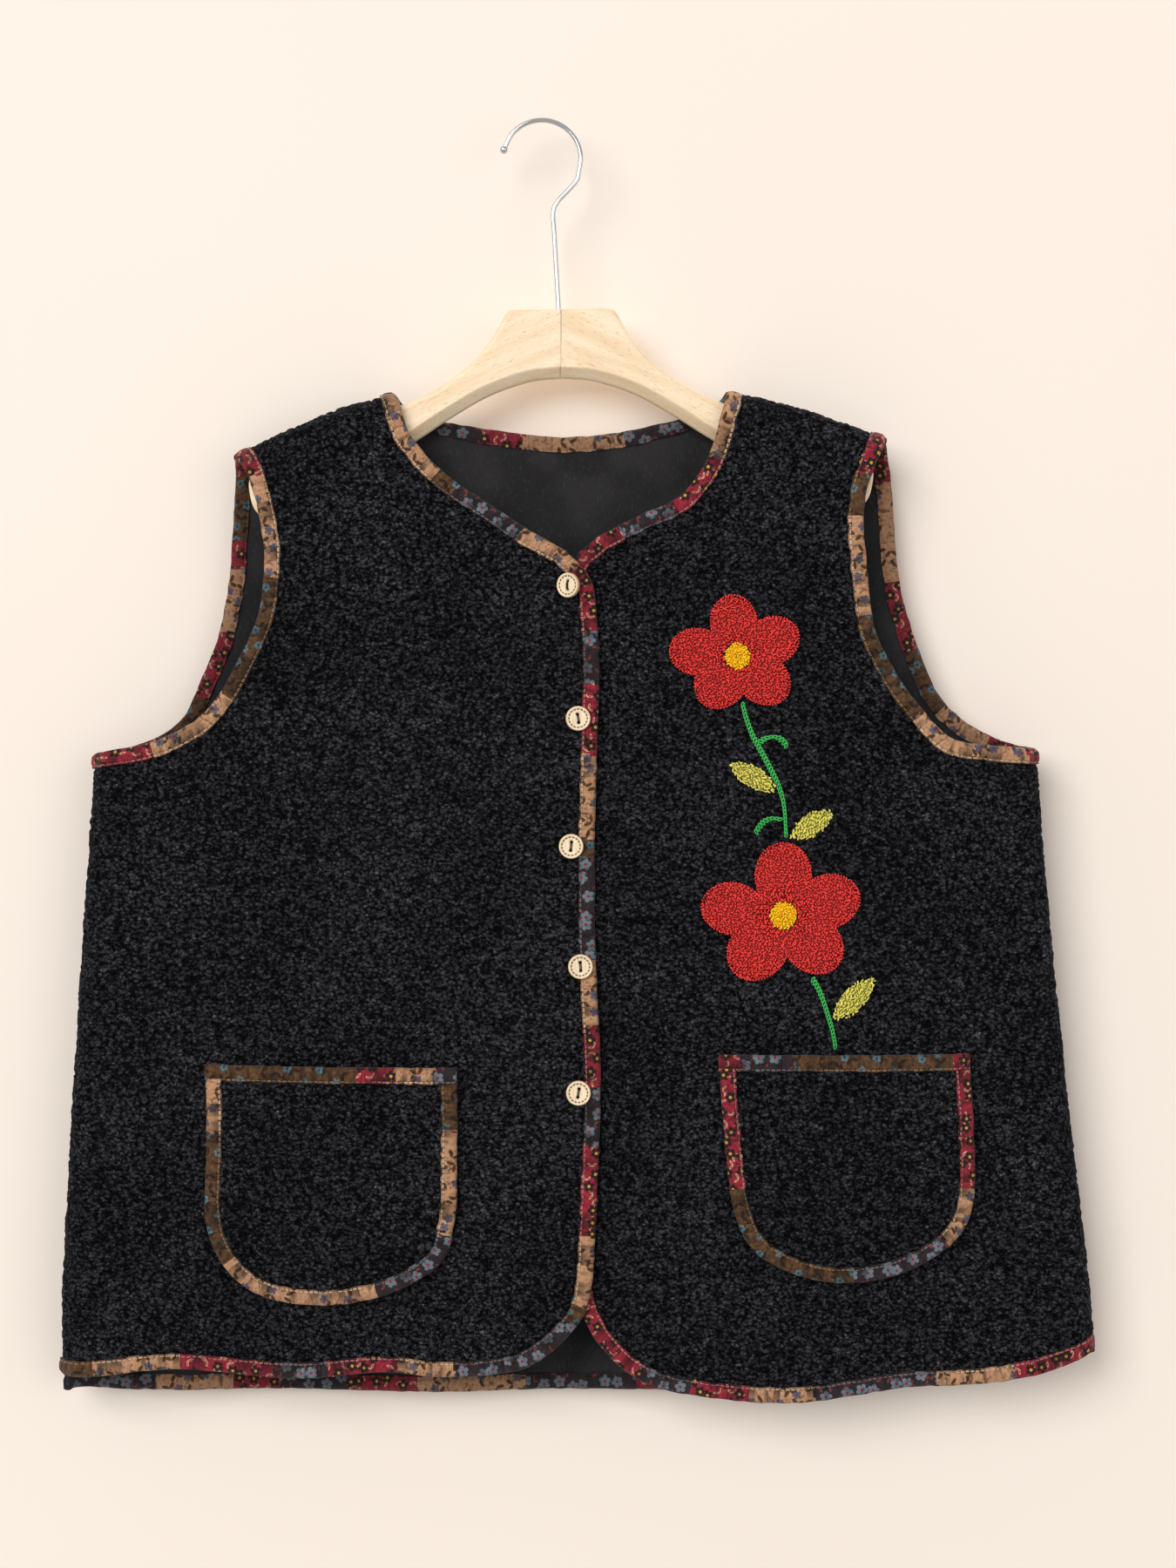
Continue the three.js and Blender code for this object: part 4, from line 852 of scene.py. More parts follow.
def yarn_finish(name, dark, light, gloss=0.6):
    """Looped yarn: each loop has its own tone, with painted shade from the tone attribute, and
    plies that twist along it.
    """
    f = Finish(name, gloss)
    place = f.object_place()
    plies = f.noise(place, 1900, 2.0, 1.2)
    tone = f.math("MULTIPLY_ADD", plies, 0.3, f.attribute("tone"))
    return f.done(
        f.mix(tone, dark, light), f.step(plies, 0.3, 0.7, gloss, gloss + 0.25),
        f.bump(plies, 0.0003, 0.7), Sheen_Weight=0.2, Sheen_Tint=light, Specular_IOR_Level=0.3,
    )


def wood_finish(name, pale, warm, dark, grain_per_metre):
    """Beech: long soft bands and short dark pores along the cut's own length."""
    f = Finish(name, 0.45)
    depth = f.split(f.object_place())[1]
    along, across, _ = f.split(f.cut_place())
    full = f.node("ShaderNodeCombineXYZ", {"X": along, "Y": across, "Z": depth}).outputs[0]
    bands = f.noise(f.moved(full, (0.09, 1, 1)), grain_per_metre, 3.0, 0.5)
    streaks = f.noise(f.moved(full, (0.05, 1, 1)), grain_per_metre * 5, 2.0, 0.2)
    pores = f.noise(f.moved(full, (0.12, 1, 1)), grain_per_metre * 16, 1.0)
    colour = f.mix(f.step(bands, 0.3, 0.7), pale, warm)
    colour = f.mix(f.step(streaks, 0.55, 0.75, 0.0, 0.45), colour, warm)
    colour = f.mix(f.step(pores, 0.62, 0.72, 0.0, 0.5), colour, dark)
    return f.done(
        colour, f.step(streaks, 0.3, 0.7, 0.38, 0.52), f.bump(pores, 0.0002, 0.25),
        Coat_Weight=0.12, Coat_Roughness=0.3,
    )


def button_finish():
    """Pale turned wood: an engraved dashed ring in the dish and a burnt line round the rim."""
    f = Finish("button_face", 0.5)
    x, z, _ = f.split(f.cut_place())
    radius = f.distance(x, z)
    angle = f.math("ARCTAN2", z, x)
    grain = f.noise(f.moved(f.object_place(), (1, 1, 0.12)), 900, 3.0, 0.4)
    colour = f.mix(f.step(grain, 0.35, 0.7), rgb(247, 228, 196), rgb(234, 208, 170))
    dash = f.math("FRACT", f.math("MULTIPLY", angle, 16 / (2 * math.pi)))
    ring = f.math("ABSOLUTE", f.math("SUBTRACT", radius, 0.0056))
    cut = f.math("MULTIPLY", f.step(ring, 0.0005, 0.0003), f.step(dash, 0.26, 0.34))
    colour = f.mix(f.math("MULTIPLY", cut, 0.95), colour, rgb(88, 56, 30))
    burnt = f.step(radius, 0.0070, 0.0075, 0.0, 0.6)
    colour = f.mix(burnt, colour, rgb(168, 128, 78))
    height = f.math("SUBTRACT", f.math("MULTIPLY", grain, 0.2), cut)
    return f.done(colour, f.step(grain, 0.3, 0.7, 0.4, 0.55), f.bump(height, 0.0003, 0.6))


def thread_finish(name, colour):
    """Sewing thread, with painted shade between its plies."""
    f = Finish(name, 0.8)
    twist = f.noise(f.object_place(), 2400, 1.0, 0.5)
    # Painted shade: the colour drops to 0.45 of itself between the plies.
    dark = tuple(c * 0.45 for c in colour[:3]) + (1.0,)
    return f.done(
        f.mix(f.step(twist, 0.35, 0.65), dark, colour), f.step(twist, 0.3, 0.7, 0.7, 0.9),
        f.bump(twist, 0.0002, 0.5),
    )


def steel_finish():
    """Polished wire, with faint drawing lines and smudges."""
    f = Finish("hook_steel", 0.12, 1.0)
    place = f.object_place()
    smudges = f.noise(place, 60, 3.0)
    lines = f.noise(f.moved(place, (1, 1, 0.05)), 3000, 1.0)
    return f.done(
        f.mix(smudges, rgb(205, 206, 208), rgb(225, 226, 228)),
        f.step(smudges, 0.35, 0.75, 0.08, 0.2), f.bump(lines, 0.00005, 0.15),
    )


SHERPA = sherpa_finish()
REVERSE = reverse_finish()
COTTONS = print_finishes()


def shortest(points, lines):
    """Distance in the plane from each point to the nearest of some lines' points."""
    ends = np.vstack([line[::6] for line in lines])
    nearest = np.full(len(points), 1e9)
    for part in np.array_split(np.arange(len(points)), max(1, len(points) // 20000)):
        gaps = points[part][:, None, :] - ends[None]
        nearest[part] = np.sqrt((gaps**2).sum(-1).min(1))
    return nearest


def resample(x, z, surface, count):
    """Points of a plane line that are evenly apart on the cloth, count + 1 of them."""
    travelled = travel(np.stack([x, surface(x, z), z], -1))
    at = np.linspace(0, travelled[-1], count + 1)
    return np.stack([np.interp(at, travelled, x), np.interp(at, travelled, z)], -1)


def rolled(share, width, ends):
    """Shares of a row whose cloth rolls away in a quarter round at its side seams.

    A length a along the roll lies ROLL (1 - cos a) in from the seam, and the rest is even.
    """
    arc = ROLL * math.pi / 2
    total = width + ends * (arc - ROLL)

    def inward(length):
        return ROLL * (1 - np.cos(np.clip(length / arc, 0, 1) * math.pi / 2))

    a = share * total
    place = np.where(a < arc, inward(a), ROLL + a - arc)
    if ends == 2:
        place = np.where(total - a < arc, width - inward(total - a), place)
    return place / width


def panel_grid(outer, inner, top, low, underarm, hands):
    """Rows from the outer to the inner line, eased onto the top and the low line.

    outer and inner hold a point for each row, top and low one for each column. hands gives the
    side seam at each end of a row, or 0, and underarm the share of the rows above the seams.
    """
    rows, columns = len(outer) - 1, len(top) - 1
    f = np.linspace(0, 1, rows + 1)[:, None]
    u = np.linspace(0, 1, columns + 1)[None]
    width = np.abs(inner[:, 0] - outer[:, 0])[:, None]
    below = smooth(f, underarm - EASE["armpit"], underarm)
    share = u + (rolled(u, width, sum(h != 0 for h in hands)) - u) * below
    grid = outer[:, None] + (inner - outer)[:, None] * share[..., None]
    fades = (1 - smooth(f, 0, EASE["top"]), smooth(f, EASE["low"], 1))
    for line, row, fade in zip((top, low), (0, -1), fades):
        straight = line[0] + (line[-1] - line[0]) * share[row][:, None]
        grid = grid + (line - straight)[None] * fade[..., None]
    for hand, turned in zip(hands, (share, 1 - share)):
        if hand:
            gap = turned * width
            weight = below * (1 - smooth(gap, ROLL, EASE["side"]))
            on_side = side_line(hand, grid[..., 1]) - hand * gap
            grid[..., 0] += (on_side - grid[..., 0]) * weight
    return grid


def rim_faces(fine, coarse):
    """Joins a finely divided edge to a coarse one, each face taking one coarse step."""
    stride = (len(fine) - 1) // (len(coarse) - 1)
    starts = np.arange(len(coarse) - 1)
    around = [fine[starts * stride + k] for k in range(stride + 1)]
    return np.stack([*around, coarse[starts + 1], coarse[starts]], -1)


def build_skin(name, grid, surface, outward, edges, seed, node, stride=4):
    """A thin shell on the wall's form: curls outside, and the smooth reverse inside.

    The outside stands off the middle by half the wall plus curls and broad waves, and lies flat
    under the bindings. The inside is a coarser grid, joined to it round the rim.
    """
    rows, columns = grid.shape[:2]
    x, z = grid[..., 0], grid[..., 1]
    middle = np.stack([x, surface(x, z), z], -1)
    normals = grid_normals(middle, outward)
    flat = middle.reshape(-1, 3)
    uncovered = smooth(shortest(grid.reshape(-1, 2), edges), *BARE_FROM)
    nubs = pile_nubs(flat, PILE["curl"], seed)
    waves = sum(soft_noise(flat, pitch, seed + k + 1) for k, pitch in enumerate(PILE["waves"]))
    raised = HALF - PILE["sink"] + PILE["rise"] * nubs + PILE["wave"] * (waves - 1)
    height = UNDER_TAPE + (raised - UNDER_TAPE) * uncovered
    outside = flat + normals.reshape(-1, 3) * height[:, None]
    inside = (middle - normals * REVERSE_HEIGHT)[::stride, ::stride]
    small_rows, small_columns = inside.shape[:2]
    points = np.vstack([outside, inside.reshape(-1, 3)])
    fine = np.arange(rows * columns).reshape(rows, columns)
    coarse = rows * columns + np.arange(small_rows * small_columns)
    coarse = coarse.reshape(small_rows, small_columns)
    rims = [
        rim_faces(fine[::-1, 0], coarse[::-1, 0]), rim_faces(fine[-1, ::-1], coarse[-1, ::-1]),
        rim_faces(fine[:, -1], coarse[:, -1]), rim_faces(fine[0], coarse[0]),
    ]
    groups = [
        (grid_faces(rows, columns), 0),
        (grid_faces(small_rows, small_columns, rows * columns, flip=True), 1),
        (np.vstack(rims), 1),
    ]
    # The curl heights where no binding covers them, which the sherpa reads to paint highlight on
    # the tops and shade between them.
    pile = np.concatenate([nubs * uncovered, np.zeros(small_rows * small_columns)])
    return make_piece(
        name, points, groups, [SHERPA, REVERSE], values={"pile": pile}, node=node)


def build_front(name, side, edge_rows):
    """One front, from the armhole and the side seam to the neckline and the front edge."""
    corner_x, seed = FRONT_CORNERS[name], SEEDS[f"{name}_front"]
    surface = SURFACES[f"{name}_front"]
    arm = FoldLine(ARMHOLES[f"{name}_front"])
    edge = FoldLine(edge_rows)
    arm_end = arm.first(side_gap(side), arm.length / 2)
    turned = edge.first(lambda x, z: -side * (x - corner_x), edge.first(lambda x, z: z - HEM_TURN))
    seam_end = edge.first(side_gap(side), turned)
    arm_ends = [("ridge", -side, 0), ("side", (side, -1), arm_end)]
    edge_ends = [("ridge", side, 0), ("side", (side, 1), seam_end)]
    arm_s = np.linspace(0, arm_end, LONG_EDGE)
    hem_s = np.linspace(seam_end, turned, LONG_EDGE)
    edge_s = np.linspace(0, turned, 2 * LONG_EDGE)
    arm_x, arm_z = stand_off(arm, arm_s, CLOTH_INSET, -side, arm_ends)
    hem_x, hem_z = stand_off(edge, hem_s, CLOTH_INSET, side, edge_ends)
    edge_x, edge_z = stand_off(edge, edge_s, CLOTH_INSET, side, edge_ends)
    seam_z = np.linspace(arm_z[-1], hem_z[0], 400)[1:]
    rows, columns = FRONT_CELLS
    outer = resample(
        np.concatenate([arm_x, side_line(side, seam_z)]), np.concatenate([arm_z, seam_z]),
        surface, rows)
    inner = resample(edge_x, edge_z, surface, rows)
    top_x = np.linspace(arm_x[0], edge_x[0], SHORT_EDGE)
    top = resample(top_x, ridge(top_x), surface, columns)
    low = resample(hem_x, hem_z, surface, columns)
    underarm = np.argmin(np.abs(outer[:, 1] - arm_z[-1])) / rows
    grid = panel_grid(outer, inner, top, low, underarm, (side, 0))
    build_skin(f"{name}_front_cloth", grid, surface, -1, [arm.line, edge.line], seed,
               f"{name}_front")
    build_tape(f"{name}_front_binding", edge, surface, -1, 0, seam_end, side, edge_ends)
    build_tape(f"{name}_armhole_front_binding", arm, surface, -1, 0, arm_end, -side, arm_ends)


def build_back():
    """The back, from side to side, with the neckline cut out of its top."""
    neck, hem = FoldLine(BACK_NECK_EDGE), FoldLine(BACK_HEM_EDGE)
    neck_ends = [("ridge", -1, 0), ("ridge", 1, neck.length)]
    back_hem = FoldLine(BACK_HEM_EDGE[::-1])
    start = hem.length - back_hem.first(side_gap(-1), back_hem.length / 2)
    end = hem.first(side_gap(1), hem.length / 2)
    hem_ends = [("side", (-1, 1), start), ("side", (1, 1), end)]
    hem_x, hem_z = stand_off(hem, np.linspace(start, end, 2500), CLOTH_INSET, 1, hem_ends)
    neck_s = np.linspace(0, neck.length, LONG_EDGE)
    neck_x, neck_z = stand_off(neck, neck_s, CLOTH_INSET, -1, neck_ends)
    rows, columns = BACK_CELLS
    sides, tips, lines = [], [], [neck.line, hem.line]
    for word, hand in (("right", -1), ("left", 1)):
        arm = FoldLine(ARMHOLES[f"{word}_back"])
        arm_end = arm.first(side_gap(hand), arm.length / 2)
        ends = [("ridge", -hand, 0), ("side", (hand, -1), arm_end)]
        x, z = stand_off(arm, np.linspace(0, arm_end, LONG_EDGE), CLOTH_INSET, -hand, ends)
        low_z = hem_z[0 if hand < 0 else -1]
        seam_z = np.linspace(z[-1], low_z, 400)[1:]
        line = resample(np.concatenate([x, side_line(hand, seam_z)]),
                        np.concatenate([z, seam_z]), back_surface, rows)
        sides.append(line)
        tips.append(x[0])
        lines.append(arm.line)
        build_tape(f"{word}_armhole_back_binding", arm, back_surface, 1, 0, arm_end, -hand, ends)
        underarm = np.argmin(np.abs(line[:, 1] - z[-1])) / rows
    right_x = np.linspace(tips[0], neck_x[0], SHORT_EDGE)[:-1]
    left_x = np.linspace(neck_x[-1], tips[1], SHORT_EDGE)[1:]
    top = resample(
        np.concatenate([right_x, neck_x, left_x]),
        np.concatenate([ridge(right_x), neck_z, ridge(left_x)]), back_surface, columns)
    low = resample(hem_x, hem_z, back_surface, columns)
    grid = panel_grid(sides[0], sides[1], top, low, underarm, (-1, 1))
    build_skin("back_cloth", grid, back_surface, 1, lines, SEEDS["back"], "back")
    build_tape("back_neck_binding", neck, back_surface, 1, 0, neck.length, -1, neck_ends)
    build_tape("back_hem_binding", hem, back_surface, 1, start, end, 1, hem_ends)


# Half section of a folded binding, columns: distance from the fold, height off the middle of the
# cloth, push past the fold. It runs from the sewn edge over the leg to the fold.
TAPE_LEG = [
    (10.0, 1.5, 0), (10.05, 2.4, 0), (9.6, 3.0, 0), (9.15, 3.0, 0), (8.8, 2.7, 0),
    (8.35, 3.1, 0), (6.8, 3.45, 0), (4.8, 3.5, 0), (2.8, 3.35, 0), (1.3, 2.9, 0),
    (0.5, 2.1, 0), (0.5, 1.1, 0.35), (0.5, 0, 0.5),
]
# Gathers, columns: strength, pitch along the tape. Their sum stays above GATHER_FLOOR.
GATHERS = [(1.15, 3.4), (0.6, 9.0)]
GATHER_FLOOR = -0.35
GATHER_RISE = 2.1
TAPE_PITCH = 1.6


def build_tape(name, line, surface, outward, start, end, hand, ends):
    """A folded tape: a closed section carried along the fold line, with puckers and patches.

    The height gets soft gathers that run across, a dip at each stitch of the sewn line, and a
    groove where two patches meet. The gathers are also kept as an attribute, from which the cotton
    paints shade in the puckers.
    """
    s = even_lengths(line, surface, start, end, TAPE_PITCH)
    reaches = np.unique([row[0] for row in TAPE_LEG])
    x, z = stand_off(line, s[:, None], reaches[None], hand, ends)
    middle = np.stack([x, surface(x, z), z], -1)
    normals = grid_normals(middle, outward)
    out = middle[:, 0] - middle[:, 1]
    out = out / np.linalg.norm(out, axis=-1, keepdims=True)
    u = travel(middle[:, 0])
    seed = sum(map(ord, name))
    gathers = sum(
        strength * (soft_noise(np.stack([u, u * 0], -1), pitch, seed + 7 * k) - 0.5)
        for k, (strength, pitch) in enumerate(GATHERS))
    gathers = np.maximum(gathers, GATHER_FLOOR)
    patches = PATCHES[name]
    seams = np.array([until for _, until in patches[:-1]], float)
    slants = (lattice(np.arange(len(patches))[:, None], seed)[:, 0] - 0.5) * 0.9
    seam_gap = np.abs(s[:, None] - seams[None]).min(1) if len(seams) else s + 99
    leg = np.array(TAPE_LEG)
    section = [(d, h, push, 1) for d, h, push in leg] + [
        (d, -h, push, -1) for d, h, push in leg[-2::-1]]
    points, across = [], []
    for d, h, push, face in section:
        k = int(np.searchsorted(reaches, d))
        bulge = face * gathers * GATHER_RISE * smooth(d, 0.4, 3.0) * (1 - smooth(d, 9.7, 10.1))
        pulled = 0.5 + 0.5 * np.cos(u * 2 * math.pi / STITCH)
        dip = 0.35 * np.exp(-((d - SEWN_AT) / 0.6) ** 2) * pulled
        groove = 0.45 * np.exp(-(seam_gap / 0.9) ** 2) * smooth(d, 0.4, 2.0)
        lift = h + bulge - face * (dip + groove) * (abs(h) > 1.2)
        wander = soft_noise(np.stack([u, u * 0 + face], -1), 5.0, seed + 3) - 0.5
        slide = wander * (1.1 if d > 9 else 0.7 * (d < 1))
        points.append(
            middle[:, k] + normals[:, k] * lift[:, None] + out * (push - slide)[:, None])
        across.append(np.full(len(s), face * (d + 0.6 * (abs(h) < 2))))
    for d, h in ((9.6, -1.2), (2.8, -1.2), (2.8, 1.2), (9.6, 1.2)):
        k = int(np.searchsorted(reaches, d - 0.01))
        points.append(middle[:, k] + normals[:, k] * h)
        across.append(np.full(len(s), d))
    points, across = np.stack(points, 1), np.stack(across, 1)
    rows, columns = points.shape[:2]
    faces = grid_faces(rows, columns, closed=True)
    face_s = s[faces[:, 0] // columns]
    face_v = across.ravel()[faces[:, 0]]
    order = np.searchsorted(seams, face_s)
    slant = slants[np.clip(order, 0, len(slants) - 1)]
    order = np.searchsorted(seams, face_s + slant * face_v * 0.6)
    prints = np.array([kind for kind, _ in patches])[np.clip(order, 0, len(patches) - 1)]
    uv = np.stack([np.repeat(u, columns) + seed % 90, across.ravel()], -1) * MM
    return make_piece(
        f"{name}_tape", points.reshape(-1, 3),
        [(faces, prints), (end_caps(rows, columns), int(prints[0]))], COTTONS, uv=uv,
        values={"gathered": np.repeat(gathers + 0.5, columns)}, node=name)


def pocket_shape(name):
    """A pocket's surface: the front's own, lifted off and swelling towards the middle."""
    rows = POCKETS[name]
    (x0, z0), (x1, z1) = rows[0], rows[-1]
    floor = min(z for _, z in rows)
    front = SURFACES[f"{name}_front"]

    def mouth(x):
        return z0 + (x - x0) / (x1 - x0) * (z1 - z0)

    def surface(x, z):
        across = (x - x0) / (x1 - x0) * 2 - 1
        down = (z0 - z) / (z0 - floor)
        swell = np.maximum(0, 1 - across**2) * np.maximum(0, 1 - np.maximum(down, 0) ** 3)
        return front(x, z) - POCKET_LIFT - POCKET_SWELL * swell

    return surface, mouth, floor


def build_pocket(name):
    """A patch pocket: its cloth, the tape round the U and the tape along the mouth."""
    surface, mouth, floor = pocket_shape(name)
    line = FoldLine(POCKETS[name])
    corner = line.first(lambda x, z: z - floor - POCKET_CORNER)
    rows, columns = POCKET_CELLS
    sides = []
    for start, end in ((1.0, corner), (corner, line.length - corner),
                       (line.length - 1.0, line.length - corner)):
        x, z = stand_off(line, np.linspace(start, end, 600), CLOTH_INSET, 1, [])
        sides.append(resample(x, z, surface, columns if len(sides) == 1 else rows))
    left, low, right = sides
    for edge in (left, right):
        lifted = mouth(edge[0, 0]) - CLOTH_INSET - edge[0, 1]
        edge[:, 1] += lifted * (1 - smooth(np.linspace(0, 1, rows + 1), 0, 0.3))
    u = np.linspace(0, 1, columns + 1)[None, :, None]
    v = np.linspace(0, 1, rows + 1)[:, None, None]
    top = left[0] + (right[0] - left[0]) * u[0]
    grid = (
        (1 - u) * left[:, None] + u * right[:, None] + (1 - v) * top[None] + v * low[None]
        - (1 - u) * ((1 - v) * left[0] + v * left[-1]) - u * ((1 - v) * right[0] + v * right[-1])
    )
    lip = np.stack([top[:, 0], mouth(top[:, 0])], -1)
    build_skin(f"{name}_pocket_cloth", grid, surface, -1, [line.line, np.repeat(lip, 3, 0)],
               SEEDS[f"{name}_pocket"], f"{name}_pocket")
    build_tape(f"{name}_pocket_binding", line, surface, -1, POCKET_ENDS,
               line.length - POCKET_ENDS, 1, [])
    (x0, z0), (x1, z1) = POCKETS[name][0], POCKETS[name][-1]
    lip_line = FoldLine([(x0 + (x1 - x0) * k / 6, z0 + (z1 - z0) * k / 6) for k in range(7)])
    build_tape(f"{name}_pocket_mouth_binding", lip_line, surface, -1, 0.3,
               lip_line.length - 0.3, -1, [])


def petal_rim(flower, angle):
    """Outline of a flower: the farthest of its petals' ovals along each ray from the middle.

    An oval's far side is (m c / a^2 + root(q - (m s / a w)^2)) / q with q = (c / a)^2 + (s / w)^2,
    where c and s are the ray's cosine and sine off the petal, a and w the oval's half length and
    half width and m its middle's distance.
    """
    rim = np.full(np.shape(angle), flower["eye"] + 2.0)
    for turn, reach, half in flower["petals"]:
        long = PETAL_OVAL * half
        middle = reach - long
        along, across = np.cos(angle - math.radians(turn)), np.sin(angle - math.radians(turn))
        square = (along / long) ** 2 + (across / half) ** 2
        root = square - (middle * across / (long * half)) ** 2
        far = (middle * along / long**2 + np.sqrt(np.maximum(root, 0))) / square
        rim = np.maximum(rim, np.where((along > 0) & (root > 0), far, 0))
    return rim


def on_front(x, z, height):
    """Points at a height off the left front, with the front's two tangents and its normal."""
    step = 0.5
    slope_x = (left_front_surface(x + step, z) - left_front_surface(x - step, z)) / (2 * step)
    slope_z = (left_front_surface(x, z + step) - left_front_surface(x, z - step)) / (2 * step)
    normal = np.stack([slope_x, -np.ones_like(x), slope_z], -1)
    normal /= np.linalg.norm(normal, axis=-1, keepdims=True)
    along = np.stack([np.ones_like(x), slope_x, np.zeros_like(x)], -1)
    along /= np.linalg.norm(along, axis=-1, keepdims=True)
    up = np.cross(along, normal)
    points = np.stack([x, left_front_surface(x, z), z], -1)
    return points + normal * np.asarray(height)[..., None], along, up, normal


def loop_form(span, rise, yarn, rings=5, sides=4):
    """One loop of yarn: a half ring of the given span and rise, its ends sunk in the cloth."""
    turn = np.linspace(0.05 * math.pi, 0.95 * math.pi, rings)[:, None]
    around = np.arange(sides)[None] * 2 * math.pi / sides + math.pi / sides
    out = yarn * np.cos(around)
    along = -(span / 2 + out) * np.cos(turn)
    height = (rise + out) * np.sin(turn)
    aside = yarn * np.sin(around) * np.ones_like(turn)
    form = np.stack([along, aside, height], -1).reshape(-1, 3)
    faces = grid_faces(rings, sides, closed=True)
    return form, np.vstack([faces, end_caps(rings, sides)])


def sew_loops(x, z, height, turn, size, seed):
    """Many loops as one array: each at its own place, turned, scaled and given a random tone, with
    painted shade towards its feet.
    """
    base, along, up, normal = on_front(x, z, height)
    form, faces = loop_form(**LOOP)
    ahead = along * np.cos(turn)[:, None] + up * np.sin(turn)[:, None]
    points, faces = repeat_form(
        form, faces, base, (ahead, np.cross(normal, ahead), normal), size)
    tone = lattice(np.arange(len(x))[:, None], seed)[:, 0]
    # Painted shade: each loop darker the lower it lies, down to its feet in the cloth.
    lit = np.clip(form[:, 2] / 1.1, 0, 1)
    values = (0.35 + 0.9 * tone)[:, None] * (0.05 + 0.95 * lit)[None]
    return points, faces, values.ravel()


def honeycomb(reach_x, reach_z, pitch, seed, jitter=0.34):
    """Places of a honeycomb over a box round 0, each moved a little at random."""
    rows = int(reach_z / (pitch * 0.87)) + 1
    columns = int(reach_x / pitch) + 1
    k, row = np.meshgrid(np.arange(-columns, columns + 1), np.arange(-rows, rows + 1))
    moved = (lattice(np.stack([k, row], -1), seed, 2) - 0.5) * 2 * jitter * pitch
    x = (k + 0.5 * (row % 2)) * pitch + moved[..., 0]
    z = row * pitch * 0.87 + moved[..., 1]
    return x.ravel(), z.ravel()


def cushion(x_rows, z_rows, heights):
    """The filled ground under the loops: a closed ring of rows on the front, its foot flat."""
    points = np.stack([
        on_front(x, z, np.full(len(x), h))[0] for x, z, h in zip(x_rows, z_rows, heights)])
    return points.reshape(-1, 3), grid_faces(*points.shape[:2], closed=True, ring=True)


def round_cushion(flower, angles, radii, heights):
    """A cushion of rings round a flower's middle."""
    return cushion([flower["x"] + r * np.cos(angles) for r in radii],
                   [flower["z"] + r * np.sin(angles) for r in radii], heights)


def join_forms(parts):
    """Joins closed bodies of four-sided faces, each turned outwards first."""
    points, faces, values, start = [], [], [], 0
    for body_points, body_faces, body_values in parts:
        turned = outwards(body_points, [(body_faces, 0)])[0][0]
        points.append(body_points)
        faces.append(turned + start)
        values.append(body_values)
        start += len(body_points)
    return np.vstack(points), np.vstack(faces), np.concatenate(values)


def make_looped(name, ground, shade, loops, finish, node):
    """One piece of the loops and their ground, which has a single low tone as painted shade under
    the loops.
    """
    points, faces, tone = join_forms([(*ground, np.full(len(ground[0]), shade)), loops])
    make_piece(name, points, [(faces, 0)], [finish], values={"tone": tone}, node=node)


def build_flower(name, flower, petals_finish, eye_finish, seed):
    """Petals of looped yarn on a low cushion, the loops in a jittered honeycomb and a rim row."""
    cx, cz, eye = flower["x"], flower["z"], flower["eye"]
    angles = np.linspace(0, 2 * math.pi, 240, endpoint=False)
    rim = petal_rim(flower, angles)
    radii = [eye + GAP + (rim - eye - GAP) * share for share, _ in PETAL_GROUND]
    ground = round_cushion(flower, angles, radii, [height for _, height in PETAL_GROUND])
    x, z = honeycomb(FARTHEST_PETAL, FARTHEST_PETAL, LOOP_PITCH["petals"], seed)
    reach = np.hypot(x, z)
    edge = petal_rim(flower, np.arctan2(z, x))
    keep = (reach < edge - 1.3) & (reach > eye + 0.2)
    fine = np.linspace(0, 2 * math.pi, 4000)
    line = petal_rim(flower, fine) - 0.75
    line_x, line_z = line * np.cos(fine), line * np.sin(fine)
    travelled = travel(np.stack([line_x, line_z], -1))
    at = np.arange(0, travelled[-1], LOOP_PITCH["rim"])
    rim_x, rim_z = np.interp(at, travelled, line_x), np.interp(at, travelled, line_z)
    x, z = np.concatenate([x[keep], rim_x]), np.concatenate([z[keep], rim_z])
    reach = np.hypot(x, z)
    inward = 1 - reach / petal_rim(flower, np.arctan2(z, x))
    height = RAISED_FROM + 0.2 + 1.1 * smooth(inward, 0.0, 0.12) - 0.5 * smooth(-reach, -14, -8)
    chance = lattice(np.arange(len(x))[:, None], seed + 1)
    turn = chance[:, 0] * math.pi
    loops = sew_loops(cx + x, cz + z, height, turn, 1.0 + 0.3 * chance[:, 1], seed + 2)
    make_looped(f"flower_{name}_loops", ground, 0.05, loops, petals_finish,
                f"flower_{name}_petals")
    rings = [eye - 0.4, eye - 0.4, eye * 0.75, eye * 0.4, 0.3, 0.3]
    domes = [RAISED_FROM + rise for rise in (0.9, 1.6, 1.9, 2.0)]
    ground = round_cushion(flower, angles[::5], rings, [FOOT, *domes, FOOT])
    x, z = honeycomb(eye, eye, LOOP_PITCH["eye"], seed + 3)
    keep = np.hypot(x, z) < eye
    x, z = x[keep], z[keep]
    chance = lattice(np.arange(len(x))[:, None], seed + 4)
    height = RAISED_FROM + 1.9 - 1.1 * (np.hypot(x, z) / eye) ** 2
    loops = sew_loops(cx + x, cz + z, height, chance[:, 0] * math.pi,
                      1.1 + 0.3 * chance[:, 1], seed + 5)
    make_looped(f"flower_{name}_eye_loops", ground, 0.1, loops, eye_finish,
                f"flower_{name}_eye")


